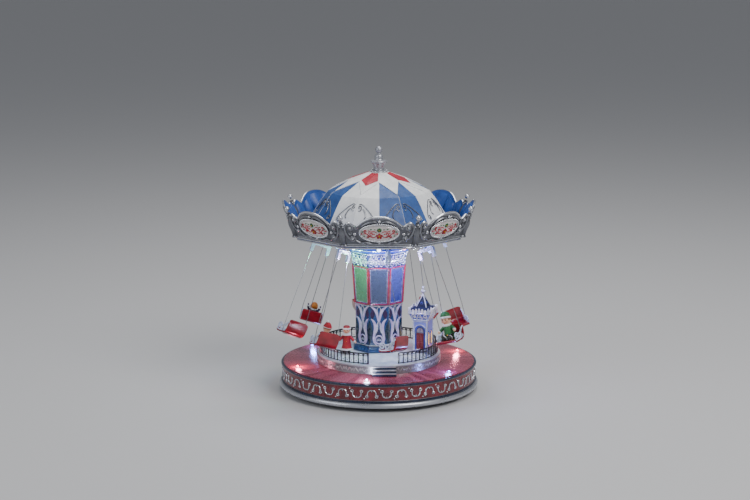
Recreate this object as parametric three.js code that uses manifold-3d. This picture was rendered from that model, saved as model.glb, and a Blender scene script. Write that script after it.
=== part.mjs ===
// Chair-swing carousel table decoration: a round base with a motor, lamps and a music board, a railed
// stage with an eight-sided column, and a turning canopy that carries eight hanging chairs.
// Millimetres, +Z up. The origin is the centre of the base where its feet meet the table. An azimuth of
// 0 degrees faces the front (-Y) and grows towards +X.
import * as THREE from 'three';
import { mergeVertices } from 'three/addons/utils/BufferGeometryUtils.js';
import ManifoldModule from 'manifold-3d';

const wasm = await ManifoldModule();
wasm.setup();

// ---- Driving dimensions ------------------------------------------------------------------------
const GAP = 0.3; // clearance between pieces that touch
const ROUND = 48; // sides of the large round mouldings
const SIDES = 8; // sides of the column and of the canopy
const FACET = 360 / SIDES; // degrees from one facet of the canopy to the next
const CORNER = FACET / 2; // azimuth of the first corner of every octagon

const FOOT_HEIGHT = 4.2;
const FOOT_RADIUS = 7;
const FOOT_CIRCLE = 88; // radius of the circle that the four feet stand on
const RING_RADIUS = 112.5; // silver foot ring, the widest part of the base
const RING_INNER = 101;
const RING_BOTTOM = 4.5;
const RING_TOP = 10;
const BAND_RADIUS = 109; // dark-red band of the base
const BAND_BOTTOM = 12;
const BAND_TOP = 29;
const TRIM_RADIUS = 110.5; // mouldings above and below the band
const DECK_RADIUS = 108;
const DECK_TOP = 32;
const SHELL = 2; // wall of the plastic mouldings
const COVER_BOTTOM = 4.5;
const COVER_TOP = 6.5;

const DECK_LAMPS = 6;
const LAMP_CIRCLE = 98; // radius of the circle of deck lamps
const FIRST_LAMP = -8; // azimuth of the first deck lamp
const LAMP_RADIUS = 1.8;

const STAGE_RADIUS = 70;
const STAGE_EDGE = 41.5; // height of the platform at its rim
const STAGE_TOP = 46; // height of the platform at the column
const STAGE_CROWN = 30; // radius where the platform reaches its full height
const STEPS = 3;
const STEPS_WIDTH = 26.4;
const STEPS_CENTRE = 5.8; // the flight of steps stands this far to the right of the middle
const STEP_TREAD = 3.2;

const FENCE_RADIUS = 66;
const FENCE_BOTTOM = 42.9;
const FENCE_TOP = 55.5;
const FENCE_RAIL = 1.4;
const FENCE_START = 18.9; // azimuth where the fence begins, on the right of the steps
const FENCE_END = 349.5; // azimuth where it ends, on their left
const FENCE_BARS = 26;

const SHAFT_RADIUS = 3;
const SHAFT_BOTTOM = 9;
const SHAFT_TOP = 246;

const PLINTH_TOP = 52.5;
const COLUMN_TOP = 100; // top of the arched lower column
const MIRROR_TOP = 144;
const LACE_TOP = 159.5;
const CAP_TOP = 176;
const COLUMN_APOTHEM = 25.8;
const MIRROR_APOTHEM = [26.2, 28.9]; // at the bottom and the top of the mirrored part
const LACE_APOTHEM = 33;
const CAP_RADIUS = 38;

const CANOPY_FLOOR = 178.5;
const CANOPY_PLATE = 2;
const CROWN_BOTTOM = 179.2;
const CROWN_CORNER = 99.3; // radius of the crown's corners at its lower edge
const BALL_RADIUS = 2.9; // ball finials on the crown's corner posts
const BALL_CIRCLE = 109.2;
const BALL_HEIGHT = 212;
// Roof profile along a gore's edge, radius and height, from the collar down to the eaves.
const ROOF = [[9.5, 246.4], [31, 238.7], [56.5, 226], [64, 216.2], [73.5, 201], [84, 183]];
const ROOF_SKIRT = 180.8;
const FINIAL_TOP = 275.7;

const SWINGS = ['h', 'b', 'a', 'c', 'd', 'e', 'f', 'g']; // the chairs, in order of azimuth
const FIRST_SWING = -171.5; // azimuth of the first chair; the others follow every FACET degrees
const RIDERS = { b: 'hood', c: 'hat', e: 'cap', g: 'hat' };
const PIVOT_RADIUS = 61;
const PIVOT_HEIGHT = 175;
const LEAN = 20; // degrees that a fork leans outwards on its stop
// How each chair hangs under its fork, in degrees: outward lean, swing along the ring, twist of the wires.
const REST = {
  h: [15, 2, 10],
  b: [17, 2, 34],
  a: [21.5, 9, 20],
  c: [18.5, -2, -30],
  d: [12.5, 2, -42],
  e: [15, 6.5, 6],
  f: [15.5, 9, 8],
  g: [12.5, -2, 15],
};
const PIN_RADIUS = 1.2;
const PIN_HOLE = 1.8; // corner radius of the six-sided holes that the pins turn in
const BARREL_RADIUS = 2.2;
const FORK_DROP = 8; // from the pivot down to the fork's cross bar
const FORK_BAR = 3.6; // width of the fork's bars
const FORK_DEPTH = 3;
const FORK_LEG = 20; // lower end of the fork's legs, below the pivot
const FORK_SPAN = 9.2; // from the middle of the fork to a leg
const KNEE = 19; // where the wires leave the legs, below the pivot
const WIRE_RADIUS = 0.4;
const WIRE_SIDES = 4;
const WIRE_SPAN = 12.9; // from the middle of the chair to a wire
const WIRE_BACK = 3; // from the middle of the seat back to the wires
const WIRE_BEND = 98; // below the pivot, where the wires meet the chair's sides
const SEAT_DROP = 116; // from the pivot down to the chair's underside
const SEAT_WIDTH = 24;
const SEAT_HEIGHT = 17;

const GEAR_MODULE = 2;
const DRIVE_TEETH = 30;
const IDLER_SMALL_TEETH = 9;
const IDLER_LARGE_TEETH = 17;
const PINION_TEETH = 9;
const IDLER_X = GEAR_MODULE * (DRIVE_TEETH + IDLER_SMALL_TEETH) / 2;
const MOTOR_Y = GEAR_MODULE * (IDLER_LARGE_TEETH + PINION_TEETH) / 2;
const DRIVE_LEVEL = [14, 18]; // heights of the drive gear's faces
const IDLER_LEVEL = [21, 24.5]; // heights of the idler's large gear and of the motor pinion

// ---- Finishes ------------------------------------------------------------------------------------
const paint = (color, roughness = 0.35, metalness = 0) => ({ color, roughness, metalness });
const FINISH = {
  darkRed: paint(0x4b1219),
  deckRed: paint(0xaa465a),
  silver: paint(0xb8bac0, 0.3, 0.8),
  black: paint(0x101012, 0.5),
  rubber: paint(0x1a1a1a, 0.85),
  steel: paint(0x9a9ca0, 0.3, 0.9),
  brass: paint(0xb08d45, 0.35, 0.9),
  nylon: paint(0xe6e3d8, 0.5),
  board: paint(0x1d6b3a, 0.5),
  lamp: paint(0xe8eeff, 0.1),
  snow: paint(0xe6eaf2, 0.6),
  blue: paint(0x325a96),
  teal: paint(0x1f5d78),
  mirror: paint(0x8796aa, 0.1, 0.7),
  frameRed: paint(0xb5263f),
  lavender: paint(0xb9bde0, 0.45),
  hanger: paint(0xdfe4f2, 0.3),
  seatRed: paint(0xaa1928, 0.25),
  coat: paint(0xc22433, 0.5),
  coatGreen: paint(0x2f6a3c, 0.5),
};

// ---- Geometry helpers ----------------------------------------------------------------------------
const radians = (degrees) => degrees * Math.PI / 180;
const octagonRadius = (apothem) => apothem / Math.cos(radians(CORNER));

/** The point at an azimuth and radius. */
function polar(azimuth, radius, z) {
  const a = radians(azimuth);
  return new THREE.Vector3(radius * Math.sin(a), -radius * Math.cos(a), z);
}

/** A closed geometry with shared vertices, no empty triangles, and faces that point outwards. */
function closed(geometry) {
  const bare = new THREE.BufferGeometry();
  bare.setAttribute('position', geometry.attributes.position.clone());
  if (geometry.index) bare.setIndex(geometry.index.clone());
  const merged = mergeVertices(bare, 1e-4);
  const position = merged.attributes.position;
  const faces = [];
  let volume = 0;
  for (let i = 0; i < merged.index.count; i += 3) {
    const [a, b, c] = [merged.index.getX(i), merged.index.getX(i + 1), merged.index.getX(i + 2)];
    if (a === b || b === c || c === a) continue;
    faces.push([a, b, c]);
    const [p, q, r] = [a, b, c].map((k) => new THREE.Vector3().fromBufferAttribute(position, k));
    volume += p.dot(q.cross(r));
  }
  merged.setIndex(faces.flatMap(([a, b, c]) => (volume < 0 ? [a, c, b] : [a, b, c])));
  return merged;
}

function toSolid(geometry) {
  const shape = closed(geometry);
  return new wasm.Manifold(new wasm.Mesh({
    numProp: 3,
    vertProperties: Float32Array.from(shape.attributes.position.array),
    triVerts: Uint32Array.from(shape.index.array),
  }));
}

function toGeometry(solid) {
  const mesh = solid.getMesh();
  const geometry = new THREE.BufferGeometry();
  geometry.setAttribute('position', new THREE.BufferAttribute(mesh.vertProperties, 3));
  geometry.setIndex(new THREE.BufferAttribute(mesh.triVerts, 1));
  return geometry;
}

/** All the geometries joined into one. */
function join(...geometries) {
  return toGeometry(geometries.map(toSolid).reduce((sum, solid) => sum.add(solid)));
}

/** The first geometry with the others cut out of it. */
function cut(body, ...tools) {
  return toGeometry(tools.map(toSolid).reduce((rest, tool) => rest.subtract(tool), toSolid(body)));
}

/** A profile of [radius, height] pairs turned about the Z axis; first turns the first corner. */
function turned(profile, segments = ROUND, first = 0) {
  const points = profile.map(([r, z]) => new THREE.Vector2(r, z));
  return new THREE.LatheGeometry(points, segments, radians(first)).rotateX(Math.PI / 2);
}

/** A ring or shell: a profile that closes on itself, turned about the Z axis. */
function ring(profile, segments = ROUND, first = 0) {
  return turned([...profile, profile[0]], segments, first);
}

/** A solid round bar standing on z0. */
function rod(radius, z0, z1, segments = 16) {
  return turned([[0, z0], [radius, z0], [radius, z1], [0, z1]], segments);
}

function tube(outer, inner, z0, z1, segments = 24) {
  return ring([[inner, z0], [outer, z0], [outer, z1], [inner, z1]], segments);
}

/** A box given by its lowest and highest corners. */
function box([x0, y0, z0], [x1, y1, z1]) {
  const block = new THREE.BoxGeometry(x1 - x0, y1 - y0, z1 - z0);
  return block.translate((x0 + x1) / 2, (y0 + y1) / 2, (z0 + z1) / 2);
}

/** An outline of [x, y] pairs raised from z0 to z1. */
function prism(outline, z0, z1) {
  const shape = new THREE.Shape(outline.map(([x, y]) => new THREE.Vector2(x, y)));
  return new THREE.ExtrudeGeometry(shape, { depth: z1 - z0, bevelEnabled: false }).translate(0, 0, z0);
}

/** An outline of [y, z] pairs that runs along X from x0 to x1. */
function sideProfile(outline, x0, x1) {
  const upright = new THREE.Matrix4().makeBasis(
    new THREE.Vector3(0, 1, 0), new THREE.Vector3(0, 0, 1), new THREE.Vector3(1, 0, 0));
  return prism(outline, x0, x1).applyMatrix4(upright);
}

/** A straight bar between two points; its ends may have different radii. */
function limb(from, to, radius, endRadius = radius, segments = 6) {
  const start = new THREE.Vector3(...from);
  const along = new THREE.Vector3(...to).sub(start);
  const bar = new THREE.CylinderGeometry(endRadius, radius, along.length(), segments);
  const turn = new THREE.Quaternion().setFromUnitVectors(
    new THREE.Vector3(0, 1, 0), along.clone().normalize());
  return bar.applyQuaternion(turn).translate(...start.addScaledVector(along, 0.5).toArray());
}

function ball(radius, at, stretch = [1, 1, 1], segments = 8) {
  const sphere = new THREE.SphereGeometry(radius, segments, 5);
  return sphere.rotateX(Math.PI / 2).scale(...stretch).translate(...at);
}

/** Straight-sided teeth about the Z axis, with one tooth centred on the angle toothAt (degrees from +X). */
function gear(teeth, bore, z0, z1, toothAt) {
  const pitch = GEAR_MODULE * teeth / 2;
  const root = pitch - 1.15 * GEAR_MODULE;
  const tip = pitch + 0.75 * GEAR_MODULE;
  const outline = [];
  for (let i = 0; i < teeth; i += 1) {
    for (const [share, radius] of [[-0.3, root], [-0.13, tip], [0.13, tip], [0.3, root]]) {
      const a = radians(toothAt + (i + share) * 360 / teeth);
      outline.push([radius * Math.cos(a), radius * Math.sin(a)]);
    }
  }
  return cut(prism(outline, z0, z1), rod(bore, z0 - 1, z1 + 1, 16));
}

/**
 * A wall built of cells between upright lines and level lines. isOpen says which cells are holes, and
 * pointAt gives a corner from its column, its level and its side (0 inner, 1 outer).
 */
function lattice(columns, levels, isOpen, pointAt, isLoop) {
  const corners = [];
  const quad = (...points) => {
    const [a, b, c, d] = points;
    corners.push(...a, ...b, ...c, ...a, ...c, ...d);
  };
  const solid = (i, j) => {
    const inside = j >= 0 && j < levels && (isLoop || (i >= 0 && i < columns));
    return inside && !isOpen((i + columns) % columns, j);
  };
  for (let i = 0; i < columns; i += 1) {
    for (let j = 0; j < levels; j += 1) {
      if (!solid(i, j)) continue;
      const at = (di, dj, side) => pointAt(isLoop ? (i + di) % columns : i + di, j + dj, side).toArray();
      quad(at(0, 0, 1), at(1, 0, 1), at(1, 1, 1), at(0, 1, 1));
      quad(at(0, 1, 0), at(1, 1, 0), at(1, 0, 0), at(0, 0, 0));
      if (!solid(i - 1, j)) quad(at(0, 0, 0), at(0, 0, 1), at(0, 1, 1), at(0, 1, 0));
      if (!solid(i + 1, j)) quad(at(1, 0, 1), at(1, 0, 0), at(1, 1, 0), at(1, 1, 1));
      if (!solid(i, j - 1)) quad(at(0, 0, 0), at(1, 0, 0), at(1, 0, 1), at(0, 0, 1));
      if (!solid(i, j + 1)) quad(at(0, 1, 1), at(1, 1, 1), at(1, 1, 0), at(0, 1, 0));
    }
  }
  const geometry = new THREE.BufferGeometry();
  geometry.setAttribute('position', new THREE.Float32BufferAttribute(corners, 3));
  return closed(geometry);
}

/** Adds a named piece to a group. */
function piece(group, name, geometry, finish) {
  const shape = closed(geometry);
  shape.computeVertexNormals();
  const mesh = new THREE.Mesh(shape, new THREE.MeshStandardMaterial(finish));
  mesh.name = name;
  group.add(mesh);
}

// ---- Base ----------------------------------------------------------------------------------------
const REAR_SWITCH = -165; // azimuth of the power switch, in the back of the base
const REAR_SOCKET = 165; // azimuth of the supply socket
const CONTROL_HEIGHT = 20;
const BATTERY = { x: [-84, -35], y: [-27, 27] }; // inside of the battery compartment
const SPEAKER = { x: -28, y: 62, radius: 20 };
const BUSH_RADIUS = 6;

/** Turns a box built at azimuth 0, where -Y is outwards, round to an azimuth. */
const roundTo = (geometry, azimuth) => geometry.rotateZ(radians(azimuth));

function buildHousing() {
  const shell = ring([
    [DECK_RADIUS - SHELL, RING_TOP + GAP], [TRIM_RADIUS, RING_TOP + GAP], [TRIM_RADIUS, BAND_BOTTOM],
    [BAND_RADIUS, BAND_BOTTOM + 0.6], [BAND_RADIUS, BAND_TOP - 0.6], [TRIM_RADIUS, BAND_TOP],
    [TRIM_RADIUS, BAND_TOP + 2], [DECK_RADIUS, DECK_TOP], [BUSH_RADIUS + GAP, DECK_TOP],
    [BUSH_RADIUS + GAP, DECK_TOP - 5], [BUSH_RADIUS + SHELL, DECK_TOP - 5],
    [BUSH_RADIUS + SHELL + 1, DECK_TOP - SHELL], [DECK_RADIUS - SHELL, DECK_TOP - SHELL],
  ]);
  const holes = [];
  for (let i = 0; i < DECK_LAMPS; i += 1) {
    const at = polar(FIRST_LAMP + i * 360 / DECK_LAMPS, LAMP_CIRCLE, 0);
    holes.push(rod(LAMP_RADIUS + GAP, DECK_TOP - 4, DECK_TOP + 2, 10).translate(at.x, at.y, 0));
  }
  const z = CONTROL_HEIGHT;
  holes.push(roundTo(box([-3, -115, z - 2.2], [7, -100, z + 2.2]), REAR_SWITCH));
  holes.push(roundTo(box([-4.5, -115, z - 4.5], [4.5, -100, z + 4.5]), REAR_SOCKET));
  return cut(shell, ...holes);
}

function buildFootRing() {
  const middle = (RING_BOTTOM + RING_TOP) / 2;
  const profile = [[RING_INNER, RING_BOTTOM], [RING_RADIUS - 2.2, RING_BOTTOM],
    [RING_RADIUS - 0.5, RING_BOTTOM + 1.3], [RING_RADIUS, middle], [RING_RADIUS - 0.5, RING_TOP - 1.3],
    [RING_RADIUS - 2.2, RING_TOP], [RING_INNER, RING_TOP]];
  return ring(profile);
}

function buildBottomCover() {
  const [x0, x1] = BATTERY.x;
  const [y0, y1] = BATTERY.y;
  const disc = rod(RING_INNER - GAP, COVER_BOTTOM, COVER_TOP, 48);
  const tray = box([x0 - 1.5, y0 - 1.5, COVER_TOP - 1], [x1 + 1.5, y1 + 1.5, 24]);
  const rails = [-1, 1].flatMap((side) => [
    box([x0, side > 0 ? y1 + 2.3 : y0 - 4, 1.6], [x1, side > 0 ? y1 + 4 : y0 - 2.3, COVER_BOTTOM + 1]),
    box([x0, side > 0 ? y1 : y0 - 4, 1.6], [x1, side > 0 ? y1 + 4 : y0, 2.6]),
  ]);
  const posts = [[-21, -72], [21, -72], [-21, -48], [21, -48]].map(
    ([x, y]) => rod(2, COVER_TOP - 1, 9, 8).translate(x, y, 0));
  const body = join(disc, tray, ...rails, ...posts);
  const well = box([x0, y0, COVER_BOTTOM - 1], [x1, y1, 22.5]);
  const grille = [-12, -6, 0, 6, 12].map((offset) => {
    const reach = Math.sqrt(15 ** 2 - offset ** 2 * 0.8);
    const x = SPEAKER.x + offset;
    return box([x - 1.2, SPEAKER.y - reach, COVER_BOTTOM - 1], [x + 1.2, SPEAKER.y + reach, COVER_TOP + 1]);
  });
  return cut(body, well, ...grille);
}

function buildDrivePlate() {
  const plate = box([-11, -15, COVER_TOP + GAP], [58, 43, 8.7]);
  const cup = tube(SHAFT_RADIUS + GAP + SHELL, SHAFT_RADIUS + GAP, 8, 12.5);
  const axle = rod(1.9, 8, 26, 10).translate(IDLER_X, 0, 0);
  return join(plate, cup, axle);
}

function buildCircuitBoard() {
  return join(
    box([-26, -78, 9 + GAP], [26, -42, 10.9]),
    box([-8, -66, 10], [6, -54, 13.5]),
    rod(4, 10, 22, 10).translate(16, -64, 0),
    rod(2.5, 10, 18, 8).translate(-18, -50, 0),
    box([8, -52, 10], [20, -46, 16]),
  );
}

function buildDeckLamps() {
  const lamps = [tube(LAMP_CIRCLE + 3.5, LAMP_CIRCLE - 3.5, 26.5, 28, 24)];
  for (let i = 0; i < DECK_LAMPS; i += 1) {
    const at = polar(FIRST_LAMP + i * 360 / DECK_LAMPS, LAMP_CIRCLE, 0);
    const dome = [[0, 27], [LAMP_RADIUS, 27], [LAMP_RADIUS, 32.8], [0, 34.3]];
    lamps.push(turned(dome, 8).translate(at.x, at.y, 0));
  }
  return join(...lamps);
}

function addBase(group) {
  piece(group, 'base_housing', buildHousing(), FINISH.darkRed);
  piece(group, 'foot_ring', buildFootRing(), FINISH.silver);
  piece(group, 'bottom_cover', buildBottomCover(), FINISH.black);
  const [x0, x1] = BATTERY.x;
  const [y0, y1] = BATTERY.y;
  const door = join(box([x0 + 0.5, y0 - 2, 2.6 + GAP], [x1 - 0.5, y1 + 2, COVER_BOTTOM - GAP]),
    box([x0 + 2, -8, 1.9], [x0 + 4, 8, 3.2]));
  piece(group, 'battery_door', door, FINISH.black);
  for (let i = 0; i < 4; i += 1) {
    const at = polar(45 + 90 * i, FOOT_CIRCLE, 0);
    const pad = turned([[0, 0], [FOOT_RADIUS - 1, 0], [FOOT_RADIUS, 1], [FOOT_RADIUS, FOOT_HEIGHT],
      [0, FOOT_HEIGHT]], 16);
    piece(group, `rubber_foot_${i + 1}`, pad.translate(at.x, at.y, 0), FINISH.rubber);
  }
  piece(group, 'drive_plate', buildDrivePlate(), FINISH.steel);
  const can = join(rod(12, 8.7 + GAP, 18.5, 20), tube(5, 1.6, 18, 19.9, 12)).translate(IDLER_X, MOTOR_Y, 0);
  piece(group, 'gear_motor', can, FINISH.steel);
  piece(group, 'circuit_board', buildCircuitBoard(), FINISH.board);
  const speaker = turned([[0, COVER_TOP + GAP], [SPEAKER.radius, COVER_TOP + GAP], [SPEAKER.radius, 9],
    [11, 12], [11, 16.5], [0, 16.5]], 20);
  piece(group, 'speaker', speaker.translate(SPEAKER.x, SPEAKER.y, 0), FINISH.black);
  piece(group, 'deck_lamps', buildDeckLamps(), FINISH.lamp);
  const z = CONTROL_HEIGHT;
  const knob = join(box([-1.8, -111, z - 1.7], [1.8, -103.5, z + 1.7]),
    box([-4, -104.6, z - 3.5], [4, -103.5, z + 3.5]));
  piece(group, 'power_switch', roundTo(knob, REAR_SWITCH), FINISH.black);
  piece(group, 'switch_body', roundTo(box([-7, -103.2, z - 5], [11, -95, z + 5]), REAR_SWITCH), FINISH.steel);
  const socket = cut(box([-4.2, -109.4, z - 4.2], [4.2, -95, z + 4.2]),
    rod(2.8, -1, 10, 12).rotateX(Math.PI / 2).translate(0, -100, z));
  piece(group, 'supply_socket', roundTo(join(socket), REAR_SOCKET), FINISH.black);
}

// ---- Drive train ---------------------------------------------------------------------------------
function addDrive(group) {
  piece(group, 'main_shaft', rod(SHAFT_RADIUS, SHAFT_BOTTOM, SHAFT_TOP, 12), FINISH.steel);
  const drive = gear(DRIVE_TEETH, SHAFT_RADIUS + GAP, ...DRIVE_LEVEL, 0);
  piece(group, 'drive_gear', drive, FINISH.nylon);
  const small = gear(IDLER_SMALL_TEETH, 2.2, DRIVE_LEVEL[0] - 1, IDLER_LEVEL[0], 180 + 180 / IDLER_SMALL_TEETH);
  const large = gear(IDLER_LARGE_TEETH, 2.2, ...IDLER_LEVEL, 90);
  piece(group, 'reduction_gear', join(small, large).translate(IDLER_X, 0, 0), FINISH.nylon);
  const pinion = gear(PINION_TEETH, 0.9, IDLER_LEVEL[0] - 0.5, IDLER_LEVEL[1] + 1, 270 + 180 / PINION_TEETH);
  const spindle = rod(1.3, 19, IDLER_LEVEL[1] + 2, 10);
  piece(group, 'motor_pinion', join(pinion, spindle).translate(IDLER_X, MOTOR_Y, 0), FINISH.brass);
  const lower = ring([[SHAFT_RADIUS + GAP, 26], [BUSH_RADIUS, 26], [BUSH_RADIUS, DECK_TOP + GAP],
    [BUSH_RADIUS + 2, DECK_TOP + GAP], [BUSH_RADIUS + 2, DECK_TOP + 1.6],
    [SHAFT_RADIUS + GAP, DECK_TOP + 1.6]], 12);
  piece(group, 'lower_bush', lower, FINISH.nylon);
  const upper = ring([[SHAFT_RADIUS + GAP, CAP_TOP - 6], [BUSH_RADIUS, CAP_TOP - 6],
    [BUSH_RADIUS, CAP_TOP + GAP], [BUSH_RADIUS + 2, CAP_TOP + GAP], [BUSH_RADIUS + 2, CAP_TOP + 1.5],
    [SHAFT_RADIUS + GAP, CAP_TOP + 1.5]], 12);
  piece(group, 'upper_bush', upper, FINISH.nylon);
}

// ---- Stage ---------------------------------------------------------------------------------------
function buildStage() {
  const foot = DECK_TOP + GAP;
  return ring([
    [STAGE_RADIUS - SHELL, foot], [STAGE_RADIUS, foot], [STAGE_RADIUS - 0.6, STAGE_EDGE],
    [STAGE_RADIUS - 1.2, STAGE_EDGE + 0.7], [STAGE_CROWN, STAGE_TOP], [10, STAGE_TOP],
    [10, STAGE_TOP - SHELL], [STAGE_CROWN, STAGE_TOP - SHELL],
    [STAGE_RADIUS - 0.6 - SHELL, STAGE_EDGE - SHELL],
  ]);
}

function buildSteps() {
  const rise = (STAGE_EDGE - DECK_TOP) / STEPS;
  const depth = STEPS * STEP_TREAD;
  const outline = [[0, 0], [-depth, 0]];
  for (let i = 0; i < STEPS; i += 1) {
    outline.push([-depth + i * STEP_TREAD, (i + 1) * rise], [-depth + (i + 1) * STEP_TREAD, (i + 1) * rise]);
  }
  const flight = sideProfile(outline, -STEPS_WIDTH / 2, STEPS_WIDTH / 2);
  return flight.translate(STEPS_CENTRE, -STAGE_RADIUS - 0.5, DECK_TOP + GAP);
}

function buildFence() {
  const pitch = (FENCE_END - FENCE_START) / FENCE_BARS;
  const half = 0.5; // half of a bar's width, in degrees
  const lines = [];
  for (let i = 0; i <= FENCE_BARS; i += 1) {
    lines.push(FENCE_START + i * pitch - half, FENCE_START + i * pitch + half);
  }
  const heights = [FENCE_BOTTOM, FENCE_BOTTOM + FENCE_RAIL, FENCE_TOP - FENCE_RAIL, FENCE_TOP];
  const pointAt = (i, j, side) => polar(lines[i], FENCE_RADIUS + side * 1.2, heights[j]);
  return lattice(lines.length - 1, 3, (i, j) => j === 1 && i % 2 === 1, pointAt, false);
}

const CASTLE = { x: 49.9, y: -8.1, turn: -19, width: 15.6, depth: 22 };
const CASTLE_WALL_TOP = 82;
const CASTLE_PARAPET_TOP = 96;
const CASTLE_TOP = 118.5;
const CASTLE_FLOOR = 46.3;
const CASTLE_FLARE = 5;

/** A four-sided tube; each level is [half width, half depth, height], outer faces first, then inner. */
function squareShell(levels) {
  const corner = [[-1, -1], [1, -1], [1, 1], [-1, 1]];
  const outer = levels.map(([w, d, z]) => ({ w, d, z }));
  const pointAt = (i, j, side) => {
    const inset = side ? 0 : 1.5;
    const { w, d, z } = outer[j];
    return new THREE.Vector3(corner[i][0] * (w - inset), corner[i][1] * (d - inset), z);
  };
  return lattice(4, levels.length - 1, () => false, pointAt, true);
}

function buildCastleTower() {
  const [w, d] = [CASTLE.width / 2, CASTLE.depth / 2];
  const flare = CASTLE_FLARE;
  const walls = squareShell([[w, d, CASTLE_FLOOR], [w, d, CASTLE_WALL_TOP],
    [w + flare, d + flare - 1.5, CASTLE_WALL_TOP + 8], [w + flare, d + flare - 1.5, CASTLE_PARAPET_TOP]]);
  const arch = new THREE.Shape();
  arch.moveTo(-4.7, 0).lineTo(4.7, 0).lineTo(4.7, 22).absarc(0, 22, 4.7, 0, Math.PI).lineTo(-4.7, 0);
  const doorway = new THREE.ExtrudeGeometry(arch, { depth: 2, bevelEnabled: false, curveSegments: 8 })
    .rotateX(Math.PI / 2).translate(0, 1 - d, CASTLE_FLOOR + 1);
  const windows = [-4, 4].map((y) => box([w - 2, y - 1.8, 66], [w + 1, y + 1.8, 75]));
  const notches = [-1, 1].flatMap((side) => [-4, 4].map(
    (x) => box([x - 1.6, side > 0 ? d : -d - 6, CASTLE_PARAPET_TOP - 3], [x + 1.6, side > 0 ? d + 6 : -d, 99])));
  const slit = box([-w - 1, -1.8, 66], [2 - w, 1.8, 75]);
  // The doorway is a panel 1 mm deep, so half of the wall is left behind it.
  return cut(walls, doorway, ...windows, slit, ...notches);
}

function buildCastleRoof() {
  const [w, d] = [CASTLE.width / 2 + 1.5, CASTLE.depth / 2 + 1.5];
  const eaves = CASTLE_PARAPET_TOP - 3.5;
  const cone = turned([[0, eaves], [Math.SQRT2, eaves], [0.12, 112], [0, 112]], 4, 45).scale(w, d, 1);
  const knobs = turned([[0, 108], [1.1, 108], [1.1, 110.8], [2.2, 112.6], [2.2, 113.8], [1, 115], [1.5, 116.2],
    [1.5, 117.6], [0, CASTLE_TOP]], 8);
  const tabs = box([-w - 1.6, -2, eaves - 1.2], [w + 1.6, 2, eaves + 0.6]);
  return join(cone, knobs, tabs);
}

function buildChild() {
  const coat = turned([[0, 52], [6, 52], [3.4, 66.5], [0, 66.5]], 10);
  const hood = turned([[0, 66], [3.6, 66], [4, 67.4], [0, 68.6]], 10);
  return join(
    coat, hood,
    ball(4.2, [0, 0, 71.4]),
    turned([[0, 72.6], [4.6, 72.6], [4.2, 74.8], [0, 77]], 10),
    limb([-2.6, 0, 53], [-3.1, -0.3, 46.6], 1.9), limb([2.6, 0, 53], [3.1, -0.3, 46.6], 1.9),
    box([-5.2, -4, 45], [-1.2, 2, 47.6]), box([1.2, -4, 45], [5.2, 2, 47.6]),
    limb([-3, 0, 65], [-10, -1, 58.6], 1.7, 2.1), limb([3, 0, 65], [10, -1, 58.6], 1.7, 2.1),
  );
}

function addStage(group) {
  piece(group, 'stage_platform', buildStage(), FINISH.snow);
  piece(group, 'stage_steps', buildSteps(), FINISH.silver);
  piece(group, 'stage_fence', buildFence(), FINISH.black);
  const castle = new THREE.Group();
  castle.position.set(CASTLE.x, CASTLE.y, 0);
  castle.rotation.z = radians(CASTLE.turn);
  group.add(castle);
  piece(castle, 'castle_tower', buildCastleTower(), FINISH.lavender);
  piece(castle, 'castle_roof', buildCastleRoof(), FINISH.blue);
  const lamp = join(rod(5, CASTLE_FLOOR, 48.5, 12), turned([[0, 48], [2.4, 48], [2.4, 53], [1.6, 55], [0, 55.6]], 10));
  piece(castle, 'castle_lamp', lamp, FINISH.lamp);
  const child = new THREE.Group();
  child.position.set(-36, -25, 0.4);
  child.rotation.z = radians(-12);
  group.add(child);
  piece(child, 'standing_child', buildChild(), FINISH.coat);
}

// ---- Column --------------------------------------------------------------------------------------
/** An eight-sided shell from [apothem, height] pairs on its outside, open at both ends. */
function octagonShell(levels, wall) {
  const outer = levels.map(([apothem, z]) => [octagonRadius(apothem), z]);
  const inner = levels.map(([apothem, z]) => [octagonRadius(apothem - wall), z]).reverse();
  return ring([...outer, ...inner], SIDES, CORNER);
}

function buildMirrorFrame() {
  const half = 2.6; // half of a corner post's width, in degrees
  const heights = [COLUMN_TOP + GAP, COLUMN_TOP + 2.8, MIRROR_TOP - 2.5, MIRROR_TOP - GAP];
  const [low, high] = MIRROR_APOTHEM;
  const pointAt = (i, j, side) => {
    const facet = Math.floor(i / 3);
    const offset = [-CORNER, half - CORNER, CORNER - half][i % 3];
    const share = (heights[j] - heights[0]) / (heights[3] - heights[0]);
    const apothem = low + share * (high - low) + GAP + side * 1.1;
    return polar(facet * FACET + offset, apothem / Math.cos(radians(offset)), heights[j]);
  };
  return lattice(3 * SIDES, 3, (i, j) => j === 1 && i % 3 === 1, pointAt, true);
}

function buildCap() {
  const floor = CAP_TOP - SHELL;
  return ring([
    [octagonRadius(31), LACE_TOP + GAP], [CAP_RADIUS - 4, LACE_TOP + GAP], [CAP_RADIUS, LACE_TOP + 3.5],
    [CAP_RADIUS, CAP_TOP - 1], [CAP_RADIUS - 1, CAP_TOP], [BUSH_RADIUS + GAP, CAP_TOP],
    [BUSH_RADIUS + GAP, floor], [CAP_RADIUS - SHELL, floor], [CAP_RADIUS - SHELL, LACE_TOP + 4],
    [octagonRadius(31), LACE_TOP + 2],
  ], 24);
}

function buildColumnLamps() {
  const z = LACE_TOP + 8;
  const lamps = [tube(CAP_RADIUS + 1.6, CAP_RADIUS + GAP, z - 1.5, z + 1.5, 24)];
  for (let i = 0; i < SIDES; i += 1) {
    const from = polar(i * FACET, CAP_RADIUS + 0.8, z).toArray();
    const to = polar(i * FACET, CAP_RADIUS + 4.5, z - 2).toArray();
    lamps.push(limb(from, to, 1.9, 1.5, 5));
  }
  return join(...lamps);
}

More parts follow.
